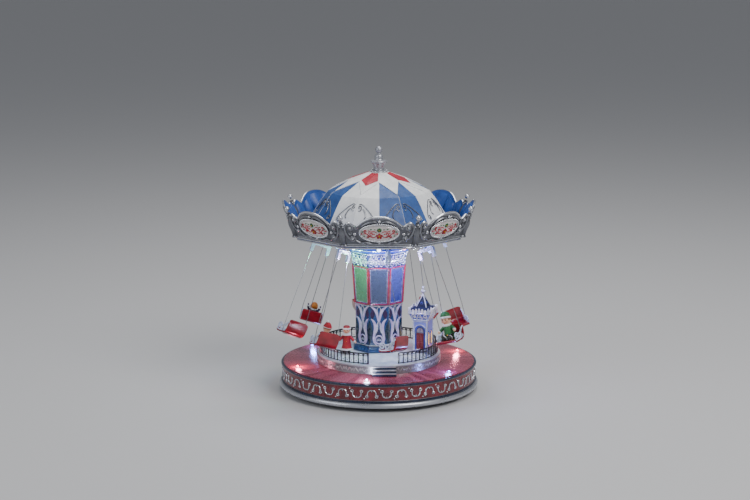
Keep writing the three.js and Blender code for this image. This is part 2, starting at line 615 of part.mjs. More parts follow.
function addColumn(group) {
  const plinth = octagonShell([[28.5, STAGE_TOP + GAP], [28.5, STAGE_TOP + 2.5], [27, STAGE_TOP + 3.5],
    [27, PLINTH_TOP]], 15);
  piece(group, 'column_plinth', plinth, FINISH.blue);
  const lower = octagonShell([[COLUMN_APOTHEM, PLINTH_TOP + GAP], [COLUMN_APOTHEM + 0.4, COLUMN_TOP]], SHELL);
  piece(group, 'column_lower', lower, FINISH.teal);
  const sleeve = octagonShell([[MIRROR_APOTHEM[0], COLUMN_TOP + GAP], [MIRROR_APOTHEM[1], MIRROR_TOP]], 1.4);
  piece(group, 'mirror_sleeve', sleeve, FINISH.mirror);
  piece(group, 'mirror_frame', buildMirrorFrame(), FINISH.frameRed);
  const lace = octagonShell([[MIRROR_APOTHEM[1] + 0.8, MIRROR_TOP + GAP], [MIRROR_APOTHEM[1] + 1.4, 152],
    [LACE_APOTHEM, LACE_TOP]], 1.4);
  piece(group, 'lace_frieze', lace, FINISH.silver);
  piece(group, 'column_cap', buildCap(), FINISH.blue);
  piece(group, 'column_lamps', buildColumnLamps(), FINISH.lamp);
}

// ---- Canopy --------------------------------------------------------------------------------------
/** Puts a geometry built beside the pivot of a chair, with +X outwards, at its azimuth. */
const atAzimuth = (geometry, azimuth) => geometry.rotateZ(radians(azimuth - 90));
const swingAzimuth = (index) => FIRST_SWING + index * FACET;

/** The two ears that hold a chair's pivot pins, and the stop bar that its fork leans against. */
function buildBracket() {
  const [r, z] = [PIVOT_RADIUS, PIVOT_HEIGHT];
  const ears = [-1, 1].map((side) => {
    const y = side > 0 ? [2.9, 4.9] : [-4.9, -2.9];
    return box([r - 4.5, y[0], z - 6], [r + 3, y[1], CANOPY_FLOOR + 0.5]);
  });
  const stop = box([r - 4.5, -4, z - 6], [r - 0.4, 4, z - 4]);
  const hole = limb([r, -7, z], [r, 7, z], PIN_HOLE, PIN_HOLE, 6);
  return cut(join(...ears, stop), hole);
}

function buildCanopyFloor() {
  const radius = octagonRadius(CROWN_CORNER * Math.cos(radians(CORNER)) - 1.8 - GAP);
  const plate = ring([[SHAFT_RADIUS + GAP, CANOPY_FLOOR], [radius, CANOPY_FLOOR],
    [radius, CANOPY_FLOOR + CANOPY_PLATE], [SHAFT_RADIUS + GAP, CANOPY_FLOOR + CANOPY_PLATE]], SIDES, CORNER);
  const hub = tube(9, SHAFT_RADIUS + GAP, CANOPY_FLOOR + 1, CANOPY_FLOOR + 10, 16);
  const bore = rod(SHAFT_RADIUS + GAP, CANOPY_FLOOR - 2, CANOPY_FLOOR + 12, 16);
  const filled = cut(join(plate, hub), bore);
  const brackets = SWINGS.map((_, i) => atAzimuth(buildBracket(), swingAzimuth(i)));
  return join(filled, ...brackets);
}

// The crown's rim over half a panel: distance from the panel's middle, and height of the edge.
const CROWN_EDGE = [[0, 217], [8, 216.4], [16, 213.4], [22, 208.6], [26, 204], [29.5, 208.5], [33.5, 208],
  [36.5, 203]];
const CROWN_CORNER_TOP = 201.5;
const CROWN_WALL = 1.8;
const CROWN_LEAN = [0.31, 0.46]; // how far the wall moves outwards for each millimetre of height: corner, middle

/** The crown: eight outward-leaning petals in one ring, with a post and a ball at every corner. */
function buildCrown() {
  const apothem = CROWN_CORNER * Math.cos(radians(CORNER));
  const halfSide = CROWN_CORNER * Math.sin(radians(CORNER));
  const right = CROWN_EDGE.map(([x, z]) => ({ x, z }));
  const left = right.slice(1).reverse().map(({ x, z }) => ({ x: -x, z }));
  const panel = [{ x: -halfSide, z: CROWN_CORNER_TOP }, ...left, ...right];
  const columns = panel.length * SIDES;
  const pointAt = (i, j, side) => {
    const facet = Math.floor(i / panel.length);
    const { x, z } = panel[i % panel.length];
    const share = Math.abs(x) / halfSide;
    const level = j ? z : CROWN_BOTTOM;
    const lean = CROWN_LEAN[1] + (CROWN_LEAN[0] - CROWN_LEAN[1]) * share ** 2;
    const grow = lean * (level - CROWN_BOTTOM);
    const out = apothem + grow - (side ? 0 : CROWN_WALL);
    const across = x * (out / apothem);
    return new THREE.Vector3(across, -out, level).applyAxisAngle(new THREE.Vector3(0, 0, 1), radians(facet * FACET));
  };
  const wall = lattice(columns, 1, () => false, pointAt, true);
  const height = (BALL_HEIGHT - CROWN_BOTTOM) / Math.cos(Math.atan(CROWN_LEAN[0]));
  const profile = [[0, 1.8], [3.8, 1.8], [2.9, 14], [3.6, 22], [1.5, height - 2.6],
    [BALL_RADIUS, height], [0, height + BALL_RADIUS]];
  const posts = [];
  for (let i = 0; i < SIDES; i += 1) {
    const lean = Math.atan((BALL_CIRCLE - CROWN_CORNER + 1) / (BALL_HEIGHT - CROWN_BOTTOM));
    const post = turned(profile, 6).rotateY(lean).translate(CROWN_CORNER - 1, 0, CROWN_BOTTOM);
    posts.push(atAzimuth(post, CORNER + i * FACET));
  }
  return join(wall, ...posts);
}

function buildRoof() {
  const wall = 1.6;
  const outer = [[SHAFT_RADIUS + GAP, ROOF[0][1]], ...ROOF, [ROOF[5][0], ROOF_SKIRT]];
  const inner = [[ROOF[5][0] - wall, ROOF_SKIRT], ...ROOF.slice(1).reverse().map(([r, z]) => [r - wall, z - wall]),
    [ROOF[0][0], ROOF[0][1] - 2 * wall], [SHAFT_RADIUS + GAP, ROOF[0][1] - 2 * wall]];
  return ring([...outer.reverse(), ...inner.reverse()], 2 * SIDES);
}

function buildFinial() {
  const top = FINIAL_TOP;
  return turned([[0, 246.7], [9, 246.7], [9.4, 247.8], [8.6, 249], [5.6, 250], [6.2, 253], [7.8, 257.6],
    [9, 258.4], [9, 259.6], [5.2, 260.4], [4.4, 262.5], [4.8, 265], [3.2, 267.2], [1.8, 268], [3.5, 270],
    [3.8, 272], [3, 274.6], [1.5, top], [0, top]], 12);
}

function addCanopy(group) {
  piece(group, 'canopy_floor', buildCanopyFloor(), FINISH.blue);
  piece(group, 'crown', buildCrown(), FINISH.silver);
  piece(group, 'roof_dome', buildRoof(), FINISH.blue);
  piece(group, 'finial', buildFinial(), FINISH.silver);
}

// ---- Chairs --------------------------------------------------------------------------------------
// Every chair is built hanging straight down from a pivot at the origin, with +X outwards and -Y in
// the direction of travel. It is then leaned outwards and moved to its place under the canopy.
function buildHanger(rest) {
  const across = FORK_SPAN + FORK_BAR / 2;
  const inner = across - FORK_BAR;
  const half = FORK_DEPTH / 2;
  const under = -SEAT_DROP - GAP - WIRE_RADIUS;
  const right = [[inner, -FORK_LEG], [across, -FORK_LEG], [across, -FORK_DROP], [half, -FORK_DROP], [half, 0]];
  const left = right.map(([x, z]) => [-x, z]).reverse();
  const crotch = [[-inner, -FORK_DROP - FORK_BAR], [inner, -FORK_DROP - FORK_BAR]];
  const fork = prism([...crotch, ...right, ...left], -half, half).rotateX(Math.PI / 2);
  const trunnion = turned([[0, -4.6], [PIN_RADIUS, -4.6], [PIN_RADIUS, -2.5], [BARREL_RADIUS, -2.5],
    [BARREL_RADIUS, 2.5], [PIN_RADIUS, 2.5], [PIN_RADIUS, 4.6], [0, 4.6]], 6).rotateX(Math.PI / 2);
  const wire = (from, to) => limb(from, to, WIRE_RADIUS, WIRE_RADIUS, WIRE_SIDES);
  const hung = (x, z) => new THREE.Vector3(x, WIRE_BACK, z).applyMatrix4(rest).toArray();
  const parts = [fork, trunnion, wire(hung(-WIRE_SPAN, under), hung(WIRE_SPAN, under))];
  for (const side of [-1, 1]) {
    const x = side * WIRE_SPAN;
    parts.push(wire([side * FORK_SPAN, 0, -FORK_LEG + 2], hung(x, -WIRE_BEND)));
    parts.push(wire(hung(x, -WIRE_BEND + 0.4), hung(x, under - 0.3)));
  }
  return join(...parts);
}

function buildSeat() {
  const low = -SEAT_DROP;
  const top = low + SEAT_HEIGHT;
  const half = SEAT_WIDTH / 2;
  const shell = [[-12.5, low + 3], [-11.2, low + 0.6], [-9.5, low], [5, low], [9.3, low + 2.6], [11.2, low + 8],
    [12.6, top], [10.8, top + 0.2], [9.4, low + 8.4], [7.8, low + 4], [4.4, low + 2], [-9.1, low + 2],
    [-10.4, low + 2.6], [-11.2, low + 4]];
  const arm = [[-10.4, low + 1], [6.6, low + 1], [9.9, low + 6.4], [8.4, low + 7.6], [1.8, low + 5], [-3.4, low + 7],
    [-7.8, low + 9], [-11.2, low + 7.2], [-11, low + 4.2]];
  return join(sideProfile(shell, -half, half), sideProfile(arm, -half, 1.6 - half),
    sideProfile(arm, half - 1.6, half));
}

function buildRider(style) {
  const seat = -SEAT_DROP + 2 + GAP;
  const hats = {
    hood: [ball(5.2, [0, 0.8, seat + 21], [1, 1, 0.95])],
    hat: [turned([[0, 0], [4.9, 0], [2.4, 5.5], [0, 7]], 8).translate(0, 0.4, seat + 21.4)],
    cap: [turned([[0, 0], [4.8, 0], [3.4, 4], [0, 5]], 8).translate(0, 0.4, seat + 21.6)],
  };
  return join(
    turned([[0, 0], [4.6, 0], [5.2, 4], [3.2, 15], [0, 15.4]], 8).translate(0, -0.8, seat),
    ball(4.6, [0, -0.2, seat + 19]), ...hats[style],
    limb([-3, -1, seat + 2.6], [-3.2, -7.4, seat + 2.4], 2.1),
    limb([3, -1, seat + 2.6], [3.2, -7.4, seat + 2.4], 2.1),
    box([-5, -9.8, seat + 1.2], [-1.4, -6.6, seat + 6]),
    box([1.4, -9.8, seat + 1.2], [5, -6.6, seat + 6]),
    limb([-3, -0.6, seat + 13], [-8.2, -3.5, seat + 9.4], 1.5, 1.7),
    limb([3, -0.6, seat + 13], [8.2, -3.5, seat + 9.4], 1.5, 1.7),
  );
}

/** Turns a chair, drawn straight below its fork, to the way it hangs at rest. */
function restMatrix([lean, sway, twist]) {
  const about = (axis, degrees) => new THREE.Matrix4().makeRotationAxis(axis, radians(degrees));
  const [x, y, z] = [[1, 0, 0], [0, 1, 0], [0, 0, 1]].map((axis) => new THREE.Vector3(...axis));
  const turnedAbout = about(y, LEAN - lean).multiply(about(x, sway)).multiply(about(z, twist));
  return new THREE.Matrix4().makeTranslation(0, 0, -KNEE).multiply(turnedAbout)
    .multiply(new THREE.Matrix4().makeTranslation(0, 0, KNEE));
}

function addSwings(group) {
  const hang = (geometry, index) => {
    const leaned = geometry.rotateY(radians(-LEAN)).translate(PIVOT_RADIUS, 0, PIVOT_HEIGHT);
    return atAzimuth(leaned, swingAzimuth(index));
  };
  SWINGS.forEach((letter, index) => {
    const rest = restMatrix(REST[letter]);
    piece(group, `hanger_${letter}`, hang(buildHanger(rest), index), FINISH.hanger);
    piece(group, `seat_${letter}`, hang(buildSeat().applyMatrix4(rest), index), FINISH.seatRed);
    const style = RIDERS[letter];
    if (style) {
      const finish = style === 'cap' ? FINISH.coatGreen : FINISH.coat;
      piece(group, `rider_${letter}`, hang(buildRider(style).applyMatrix4(rest), index), finish);
    }
  });
}

const carousel = new THREE.Group();
addBase(carousel);
addDrive(carousel);
addStage(carousel);
addColumn(carousel);
addCanopy(carousel);
addSwings(carousel);
export default carousel;
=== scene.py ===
"""Looks of a lit chair-swing carousel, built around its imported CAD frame.

Lengths are in millimetres until piece() turns them into metres. An azimuth of 0 degrees faces the front
(-Y) and grows towards +X. Every ornament is drawn as strokes in two dimensions and then laid on its
surface: the band, the crown, the roof or the column.
"""
import math
import random

import bmesh
import bpy
from mathutils import Matrix, Vector


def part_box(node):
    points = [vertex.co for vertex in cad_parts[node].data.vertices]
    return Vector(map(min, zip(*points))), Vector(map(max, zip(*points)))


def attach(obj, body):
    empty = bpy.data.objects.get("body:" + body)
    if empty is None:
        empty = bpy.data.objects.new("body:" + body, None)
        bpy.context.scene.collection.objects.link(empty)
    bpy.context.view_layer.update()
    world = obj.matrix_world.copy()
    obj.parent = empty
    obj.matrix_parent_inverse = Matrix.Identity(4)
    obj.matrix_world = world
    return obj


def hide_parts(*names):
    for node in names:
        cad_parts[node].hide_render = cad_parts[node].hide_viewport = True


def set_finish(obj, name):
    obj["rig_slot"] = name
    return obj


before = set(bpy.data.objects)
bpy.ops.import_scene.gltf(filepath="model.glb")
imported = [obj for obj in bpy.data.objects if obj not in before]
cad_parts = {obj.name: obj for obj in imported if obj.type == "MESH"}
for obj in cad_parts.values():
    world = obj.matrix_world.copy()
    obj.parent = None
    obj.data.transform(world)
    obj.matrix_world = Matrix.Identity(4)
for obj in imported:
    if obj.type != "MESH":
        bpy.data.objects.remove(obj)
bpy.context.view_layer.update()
MM = 0.001
# The radius of a turned profile where it meets its axis.
AXIS = 0.001
RANDOM = random.Random(7)


# ---- Sizes, read from the frame in millimetres ---------------------------------------------------
def low(node):
    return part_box(node)[0] / MM


def high(node):
    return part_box(node)[1] / MM


SIDES = 8
FACET = 360 / SIDES
HALF_FACET = FACET / 2
GORES = 2 * SIDES
ROUND = 192
RING_RADIUS = high("foot_ring").x
RING_BOTTOM, RING_TOP = low("foot_ring").z, high("foot_ring").z
TRIM_RADIUS = high("base_housing").x
BAND_RADIUS = TRIM_RADIUS - 1.5
DECK_RADIUS = TRIM_RADIUS - 2.5
BAND_BOTTOM, BAND_TOP = 12, 29
DECK_TOP = high("base_housing").z
LAMP_CIRCLE, FIRST_LAMP = 98, -8
STAGE_RADIUS = high("stage_platform").x
STAGE_TOP = high("stage_platform").z
STAGE_FOOT = 32.3
STAGE_EDGE = STAGE_TOP - 4.5
FENCE_RADIUS, FENCE_START, FENCE_END = 66.6, 18.9, 349.5
FENCE_BOTTOM, FENCE_TOP = low("stage_fence").z, high("stage_fence").z
LOWER_BOTTOM, LOWER_TOP = 52.8, 100
MIRROR_BOTTOM, MIRROR_TOP = 100.3, 144
LACE_BOTTOM, LACE_WAIST, LACE_TOP = 144.3, 152, 159.5
CAP_TOP = high("column_cap").z
CANOPY_FLOOR = high("canopy_floor").z - 10
CROWN_BOTTOM = low("crown").z
CROWN_CORNER = 99.3
CROWN_APOTHEM = CROWN_CORNER * math.cos(math.radians(HALF_FACET))
CROWN_HALF = CROWN_CORNER * math.sin(math.radians(HALF_FACET))
ROOF = [(9.5, 246.4), (31, 238.7), (56.5, 226), (64, 216.2), (73.5, 201), (84, 183)]
PIVOT_RADIUS, PIVOT_HEIGHT, LEAN = 61, 175, 20
KNEE = 19
WIRE_SPAN, WIRE_BACK = 12.9, 3
# How each chair hangs under its fork, in degrees: outward lean, swing along the ring, twist of the wires.
REST = {"h": (15, 2, 10), "b": (17, 2, 34), "a": (21.5, 9, 20), "c": (18.5, -2, -30), "d": (12.5, 2, -42),
        "e": (15, 6.5, 6), "f": (15.5, 9, 8), "g": (12.5, -2, 15)}
SWINGS = "hbacdefg"
FIRST_SWING = -171.5


def swing_azimuth(letter):
    return FIRST_SWING + SWINGS.index(letter) * FACET


# ---- Camera, floor and lights --------------------------------------------------------------------
def linked(name, data):
    """A new object in the scene."""
    made = bpy.data.objects.new(name, data)
    bpy.context.scene.collection.objects.link(made)
    return made


def make_camera():
    """The photo's view, fitted to the ellipses of the base."""
    data = bpy.data.cameras.new("camera")
    data.lens, data.sensor_width = 91.35, 36
    data.clip_start, data.clip_end = 0.05, 50
    camera = linked("camera", data)
    camera.location = (-0.0110, -2.0972, 0.5637)
    camera.rotation_euler = (math.radians(90 - 10.946), 0, math.radians(-0.184))
    bpy.context.scene.camera = camera


def area_light(name, location, size, watts, color):
    data = bpy.data.lights.new(name, "AREA")
    data.energy, data.size, data.color = watts, size, color
    light = linked(name, data)
    light.location = location
    light.rotation_euler = (Vector((0, 0, 0.14)) - Vector(location)).to_track_quat("-Z", "Y").to_euler()


def make_studio():
    area_light("key", (0.9, -1.0, 1.35), 0.9, 19, (1, 0.98, 0.95))
    area_light("fill", (-1.3, -0.9, 0.8), 1.1, 7, (0.93, 0.96, 1))
    area_light("top", (0.1, 0.3, 1.5), 0.8, 11, (1, 1, 1))
    world = bpy.data.worlds.new("studio")
    bpy.context.scene.world = world
    world.use_nodes = True
    background = world.node_tree.nodes["Background"]
    background.inputs["Color"].default_value = (0.56, 0.58, 0.62, 1)
    background.inputs["Strength"].default_value = 0.42
    mesh = bpy.data.meshes.new("floor")
    reach = 30
    corners = [(-reach, -reach, 0), (reach, -reach, 0), (reach, reach, 0), (-reach, reach, 0)]
    mesh.from_pydata(corners, [], [(0, 1, 2, 3)])
    floor = linked("floor", mesh)
    material = bpy.data.materials.new("floor")
    material.use_nodes = True
    shader = material.node_tree.nodes["Principled BSDF"]
    shader.inputs["Base Color"].default_value = (0.56, 0.56, 0.57, 1)
    shader.inputs["Roughness"].default_value = 0.7
    mesh.materials.append(material)


make_camera()
make_studio()


# ---- Materials -----------------------------------------------------------------------------------
def linear(hex_color):
    """A hex colour as linear red, green, blue and alpha."""
    channels = [int(hex_color[i:i + 2], 16) / 255 for i in (0, 2, 4)]
    return [c / 12.92 if c <= 0.04045 else ((c + 0.055) / 1.055) ** 2.4 for c in channels] + [1]


class Nodes:
    """A material's node tree, with short calls for the nodes that the finishes below share."""

    def __init__(self, name):
        self.material = bpy.data.materials.new(name)
        self.material.use_nodes = True
        self.tree = self.material.node_tree
        self.shader = self.tree.nodes["Principled BSDF"]
        self.place = self.node("ShaderNodeTexCoord").outputs["Object"]

    def node(self, kind, links=(), **values):
        made = self.tree.nodes.new(kind)
        for key, value in values.items():
            setattr(made, key, value)
        for socket, source in dict(links).items():
            if isinstance(source, bpy.types.NodeSocket):
                self.tree.links.new(source, made.inputs[socket])
            else:
                made.inputs[socket].default_value = source
        return made

    def noise(self, scale, detail=4):
        links = {"Vector": self.place, "Scale": scale, "Detail": detail}
        return self.node("ShaderNodeTexNoise", links).outputs[0]

    def span(self, source, low_in, high_in, low_out, high_out):
        links = {"Value": source, "From Min": low_in, "From Max": high_in, "To Min": low_out,
                 "To Max": high_out}
        return self.node("ShaderNodeMapRange", links).outputs[0]

    def math(self, operation, a, b=0.0):
        return self.node("ShaderNodeMath", {0: a, 1: b}, operation=operation).outputs[0]

    def mix(self, factor, a, b):
        return self.node("ShaderNodeMix", {0: factor, 6: a, 7: b}, data_type="RGBA").outputs[2]

    def bump(self, height, strength, distance):
        links = {"Height": height, "Strength": strength, "Distance": distance}
        self.link(self.node("ShaderNodeBump", links).outputs[0], "Normal")

    def link(self, source, socket):
        self.tree.links.new(source, self.shader.inputs[socket])

    def set(self, **values):
        for key, value in values.items():
            self.shader.inputs[key.replace("_", " ")].default_value = value


def paint(name, color, shade, roughness, metallic=0.0, coat=0.0, blotch=160, grain=2200, bump=0.12):
    """Lacquer or moulded plastic: two close shades in soft blotches, uneven gloss and a fine skin."""
    n = Nodes(name)
    blotches = n.span(n.noise(blotch), 0.35, 0.65, 0, 1)
    n.link(n.mix(blotches, linear(shade), linear(color)), "Base Color")
    n.link(n.span(n.noise(blotch * 2.3), 0.3, 0.7, roughness * 0.82, roughness * 1.2), "Roughness")
    n.bump(n.noise(grain, 2), bump, 0.0002)
    n.set(Metallic=metallic, Coat_Weight=coat, Coat_Roughness=0.12)
    return n.material


def silver(name, color, painted_shade, roughness):
    """Silver lacquer on a relief: painted shade darkens hollows and flats, and a painted highlight brightens
    raised edges.
    """
    n = Nodes(name)
    edge = n.node("ShaderNodeNewGeometry").outputs["Pointiness"]
    # Pointiness drives painted light: flats and hollows take painted shade, convex edges a painted highlight.
    raised = n.span(edge, 0.47, 0.56, 0.1, 1)
    speckle = n.span(n.noise(420, 3), 0.35, 0.65, 0.82, 1.0)
    n.link(n.mix(n.math("MULTIPLY", raised, speckle), linear(painted_shade), linear(color)), "Base Color")
    n.link(n.span(n.noise(320), 0.3, 0.7, roughness * 0.85, roughness * 1.3), "Roughness")
    n.bump(n.noise(1200, 3), 0.06, 0.0002)
    n.set(Metallic=0.78)
    return n.material


def glow(name, color, strength, core="ffffff"):
    """A lit lamp: a lens in one colour with paler clouds in it, shining in both."""
    n = Nodes(name)
    cloud = n.span(n.noise(700, 2), 0.3, 0.7, 0.0, 1.0)
    n.link(n.mix(cloud, linear(color), linear(core)), "Base Color")
    n.link(n.mix(cloud, linear(color), linear(core)), "Emission Color")
    n.set(Emission_Strength=strength, Roughness=0.12)
    return n.material


def planks():
    """The deck: narrow boards that run outwards, each in its own shade of red, with grain along it."""
    n = Nodes("deck_boards")
    parts = n.node("ShaderNodeSeparateXYZ", {0: n.place})
    angle = n.math("ARCTAN2", parts.outputs[1], parts.outputs[0])
    boards = n.math("MULTIPLY", angle, 96 / (2 * math.pi))
    own = n.node("ShaderNodeTexWhiteNoise", {"W": n.math("FLOOR", boards)}, noise_dimensions="1D").outputs[0]
    across = n.math("PINGPONG", boards, 0.5)
    radius = n.node("ShaderNodeVectorMath", {0: n.place}, operation="LENGTH").outputs["Value"]
    grain_place = n.node("ShaderNodeCombineXYZ", {0: n.math("MULTIPLY", angle, 3.2),
                                                  1: n.math("MULTIPLY", radius, 9.0)})
    grain = n.node("ShaderNodeTexNoise", {"Vector": grain_place.outputs[0], "Scale": 42.0,
                                          "Detail": 6.0}).outputs[0]
    worn = n.mix(n.span(grain, 0.36, 0.62, 0, 1), linear("651a2c"), linear("9c374f"))
    shade = n.mix(n.math("MULTIPLY", own, 0.75), worn, linear("b9576d"))
    seam = n.span(across, 0.0, 0.05, 0.8, 0)
    n.link(n.mix(seam, shade, linear("4a1220")), "Base Color")
    n.link(n.span(grain, 0.3, 0.7, 0.2, 0.42), "Roughness")
    n.bump(n.math("ADD", n.math("MULTIPLY", grain, 0.4), n.span(across, 0.0, 0.05, 0, 1)), 0.22, 0.0003)
    n.set(Coat_Weight=0.35, Coat_Roughness=0.15)
    return n.material


def snow():
    n = Nodes("snow")
    drift = n.span(n.noise(95, 5), 0.35, 0.7, 0, 1)
    n.link(n.mix(drift, linear("c9cfe0"), linear("f6f7fb")), "Base Color")
    sparkle = n.node("ShaderNodeTexVoronoi", {"Vector": n.place, "Scale": 1600.0}).outputs["Distance"]
    n.link(n.span(sparkle, 0.0, 0.25, 0.16, 0.6), "Roughness")
    n.bump(n.noise(420, 6), 0.45, 0.0006)
    return n.material


def mirror(name, pale, deep):
    """Mirror foil under clear plastic, a little smoky and smudged."""
    n = Nodes(name)
    smoke = n.span(n.noise(60, 5), 0.3, 0.7, 0, 1)
    n.link(n.mix(smoke, linear(deep), linear(pale)), "Base Color")
    n.link(n.span(n.noise(240, 5), 0.3, 0.75, 0.2, 0.4), "Roughness")
    n.bump(n.noise(38, 2), 0.06, 0.0012)
    n.set(Metallic=0.55, Coat_Weight=0.5, Coat_Roughness=0.08)
    return n.material


PAINT = {
    "band": paint("band_red", "7d1a27", "5a101b", 0.3, coat=0.4),
    "ring": paint("satin_silver", "c8cad1", "b9bcc4", 0.3, metallic=0.8, blotch=40, grain=600, bump=0.01),
    "pewter": paint("satin_pewter", "b9bbc2", "a5a8b0", 0.4, metallic=0.75, blotch=120, grain=900, bump=0.02),
    "navy": paint("navy_trim", "1d2c4a", "131d33", 0.3, coat=0.3),
    "deck": planks(),
    # The silver() finishes carry painted shade in hollows and a painted highlight on raised edges.
    "silver": silver("silver_relief", "8c8e95", "404249", 0.3),
    "bright": paint("polished_silver", "d4d6dc", "bfc2c9", 0.22, metallic=0.85, blotch=300, bump=0.05),
    "riser": silver("silver_riser", "b3afb4", "8d8a90", 0.3),
    "frieze": silver("frieze_silver", "d0ccd0", "9b979d", 0.34),
    "snow": snow(),
    "black": paint("black_lacquer", "1b1a24", "0d0c13", 0.3, coat=0.3),
    "plastic": paint("black_plastic", "1c1c1e", "121213", 0.5, bump=0.3),
    "rubber": paint("rubber", "1a1a1a", "101010", 0.8, bump=0.5),
    "steel": paint("steel", "a2a5aa", "84878d", 0.3, metallic=0.95),
    "brass": paint("brass", "b8954c", "9a7a3a", 0.3, metallic=0.95),
    "nylon": paint("nylon", "e6e2d6", "d6d2c4", 0.45),
    "board": paint("circuit_green", "1e6b3a", "17502c", 0.4, coat=0.4),
    "blue": paint("canopy_blue", "2f5cae", "254a92", 0.36, blotch=110),
    "roof_blue": paint("roof_blue", "315ea3", "284e8c", 0.42, blotch=120, bump=0.2),
    "roof_white": paint("roof_white", "f6f7f8", "e7e9eb", 0.45, blotch=120, bump=0.2),
    "roof_red": paint("roof_red", "c22b40", "a51f33", 0.4, blotch=140, bump=0.2),
    "cap_blue": paint("cap_blue", "2449a8", "1b3988", 0.3, coat=0.3),
    "teal": paint("column_blue", "1f4f86", "153866", 0.28, coat=0.5, blotch=70),
    "teal_deep": paint("column_deep", "182a5c", "101b3e", 0.3, coat=0.4),
    "pearl": paint("pearl_white", "dfe1ee", "c3c6da", 0.25, metallic=0.25, coat=0.4),
    "frame_red": paint("frame_red", "c22c46", "9a1f3b", 0.28, coat=0.4),
    "frame_violet": paint("frame_violet", "7a2f9a", "542079", 0.3, coat=0.3),
    "mirror": mirror("mirror_foil", "5c6b8e", "505e80"),
    # Green and violet foil are painted reflections of the lamps' coloured light on the mirrors beside the
    # front one.
    "mirror_painted_green_reflection": mirror("mirror_painted_green_reflection", "6aa884", "5a9372"),
    "mirror_painted_violet_reflection": mirror("mirror_painted_violet_reflection", "5a66cc", "4b56bb"),
    "lilac": paint("column_lilac", "d9cdec", "bdaee0", 0.26, coat=0.4),
    "column_dark": paint("column_dark", "1c3a4c", "14293a", 0.28, coat=0.4),
    "roof_navy": paint("roof_navy", "0e1a48", "0a1233", 0.7),
    "storey_blue": paint("storey_blue", "4f5cc0", "3f4aa6", 0.4),
    "transom": paint("transom", "93808f", "746072", 0.3, coat=0.3),
    "lace_blue": paint("lace_blue", "1b2f80", "142257", 0.4, coat=0.1),
    "wall": paint("castle_wall", "8a93e0", "7a83d4", 0.5, blotch=200, bump=0.3),
    "arch": paint("arch_violet", "3c47b0", "2c3588", 0.35),
    "door": paint("door_red", "8c1626", "6b0f1c", 0.38, bump=0.3),
    "seat": paint("seat_red", "9f1226", "7d0c1d", 0.22, coat=0.5, blotch=90),
    "fork": paint("fork_white", "dde4f8", "c3cdea", 0.25, coat=0.3),
    "coat": paint("coat_red", "b81e31", "951526", 0.45, blotch=300, bump=0.35),
    "green": paint("coat_green", "2f7a40", "225c30", 0.45, blotch=300, bump=0.35),
    "plum": paint("coat_plum", "3d2350", "2c183b", 0.45, blotch=300, bump=0.35),
    "fur": paint("fur_white", "f4f1f0", "dcd8dc", 0.7, grain=1400, bump=0.9),
    "skin": paint("skin", "efbf9f", "e3a988", 0.4, blotch=240),
    "cheek": paint("cheek", "e58a7c", "dc7b6e", 0.4),
    "lip": paint("lip", "c0403f", "a83332", 0.35),
    "eye": paint("eye", "1f1512", "140d0b", 0.15, coat=0.6),
    "hair": paint("hair", "8a4a1e", "6d3814", 0.5, blotch=600, bump=0.5),
    "ginger": paint("ginger_hair", "d9802a", "bb661c", 0.5, blotch=600, bump=0.5),
    "boot": paint("boot_black", "1a1618", "0f0c0e", 0.25, coat=0.5),
    "gold": paint("gold", "d6a53a", "b5862a", 0.25, metallic=0.9),
    "medallion": paint("medallion_white", "d9d2d0", "c9c1c0", 0.3, coat=0.5),
    "petal_red": paint("petal_red", "b51a30", "8f1023", 0.35),
    "leaf": paint("leaf_green", "1f6a3c", "14502b", 0.35),
    "white_lamp": glow("white_lamp", "bcd2ff", 6),
    "blue_lamp": glow("blue_lamp", "2f55ff", 7, "9db6ff"),
    "red_lamp": glow("red_lamp", "ff2a4a", 7, "ff9aa6"),
    "green_lamp": glow("green_lamp", "2cff7a", 6, "b8ffd0"),
    "amber_lamp": glow("amber_lamp", "ffa033", 6, "ffe0a8"),
    "pink_lamp": glow("pink_lamp", "ff4f9a", 7, "ffc2dc"),
    "window": glow("window_light", "ffae20", 3.4, "ffdc70"),
}


# ---- Shapes --------------------------------------------------------------------------------------
class Shape:
    """Points and faces in millimetres; every face keeps the name of its paint."""

    def __init__(self):
        self.points, self.faces, self.paints = [], [], []

    def add(self, points, faces, color=None):
        base = len(self.points)
        self.points += [Vector(p) for p in points]
        self.faces += [[base + i for i in face] for face in faces]
        self.paints += [color] * len(faces)
        return self

    def join(self, *others):
        for other in others:
            base = len(self.points)
            self.points += other.points
            self.faces += [[base + i for i in face] for face in other.faces]
            self.paints += other.paints
        return self

    def moved(self, matrix):
        made = Shape()
        made.points = [matrix @ p for p in self.points]
        made.faces, made.paints = self.faces, list(self.paints)
        return made

    def painted(self, color):
        self.paints = [color] * len(self.faces)
        return self

    def put(self, color, shape):
        """Joins a shape to this one, in one paint."""
        return self.join(shape.painted(color))


def polar(azimuth, radius, z):
    a = math.radians(azimuth)
    return Vector((radius * math.sin(a), -radius * math.cos(a), z))


def circle(radius, z, count):
    """Points round the axis at one height."""
    return [polar(360 * j / count, radius, z) for j in range(count)]


def octagon(apothem, z):
    """The eight corners of a level of the column or canopy, with a side facing the front."""
    radius = apothem / math.cos(math.radians(HALF_FACET))
    return [polar(HALF_FACET + FACET * j, radius, z) for j in range(SIDES)]


def angles(count):
    """Angles in radians, evenly spaced round a full turn."""
    return [2 * math.pi * k / count for k in range(count)]


def rectangle(low_x, low_y, high_x, high_y):
    return [(low_x, low_y), (high_x, low_y), (high_x, high_y), (low_x, high_y)]


def shift(x, y, z):
    return Matrix.Translation((x, y, z))


def turn(degrees, axis="Z"):
    return Matrix.Rotation(math.radians(degrees), 4, axis)


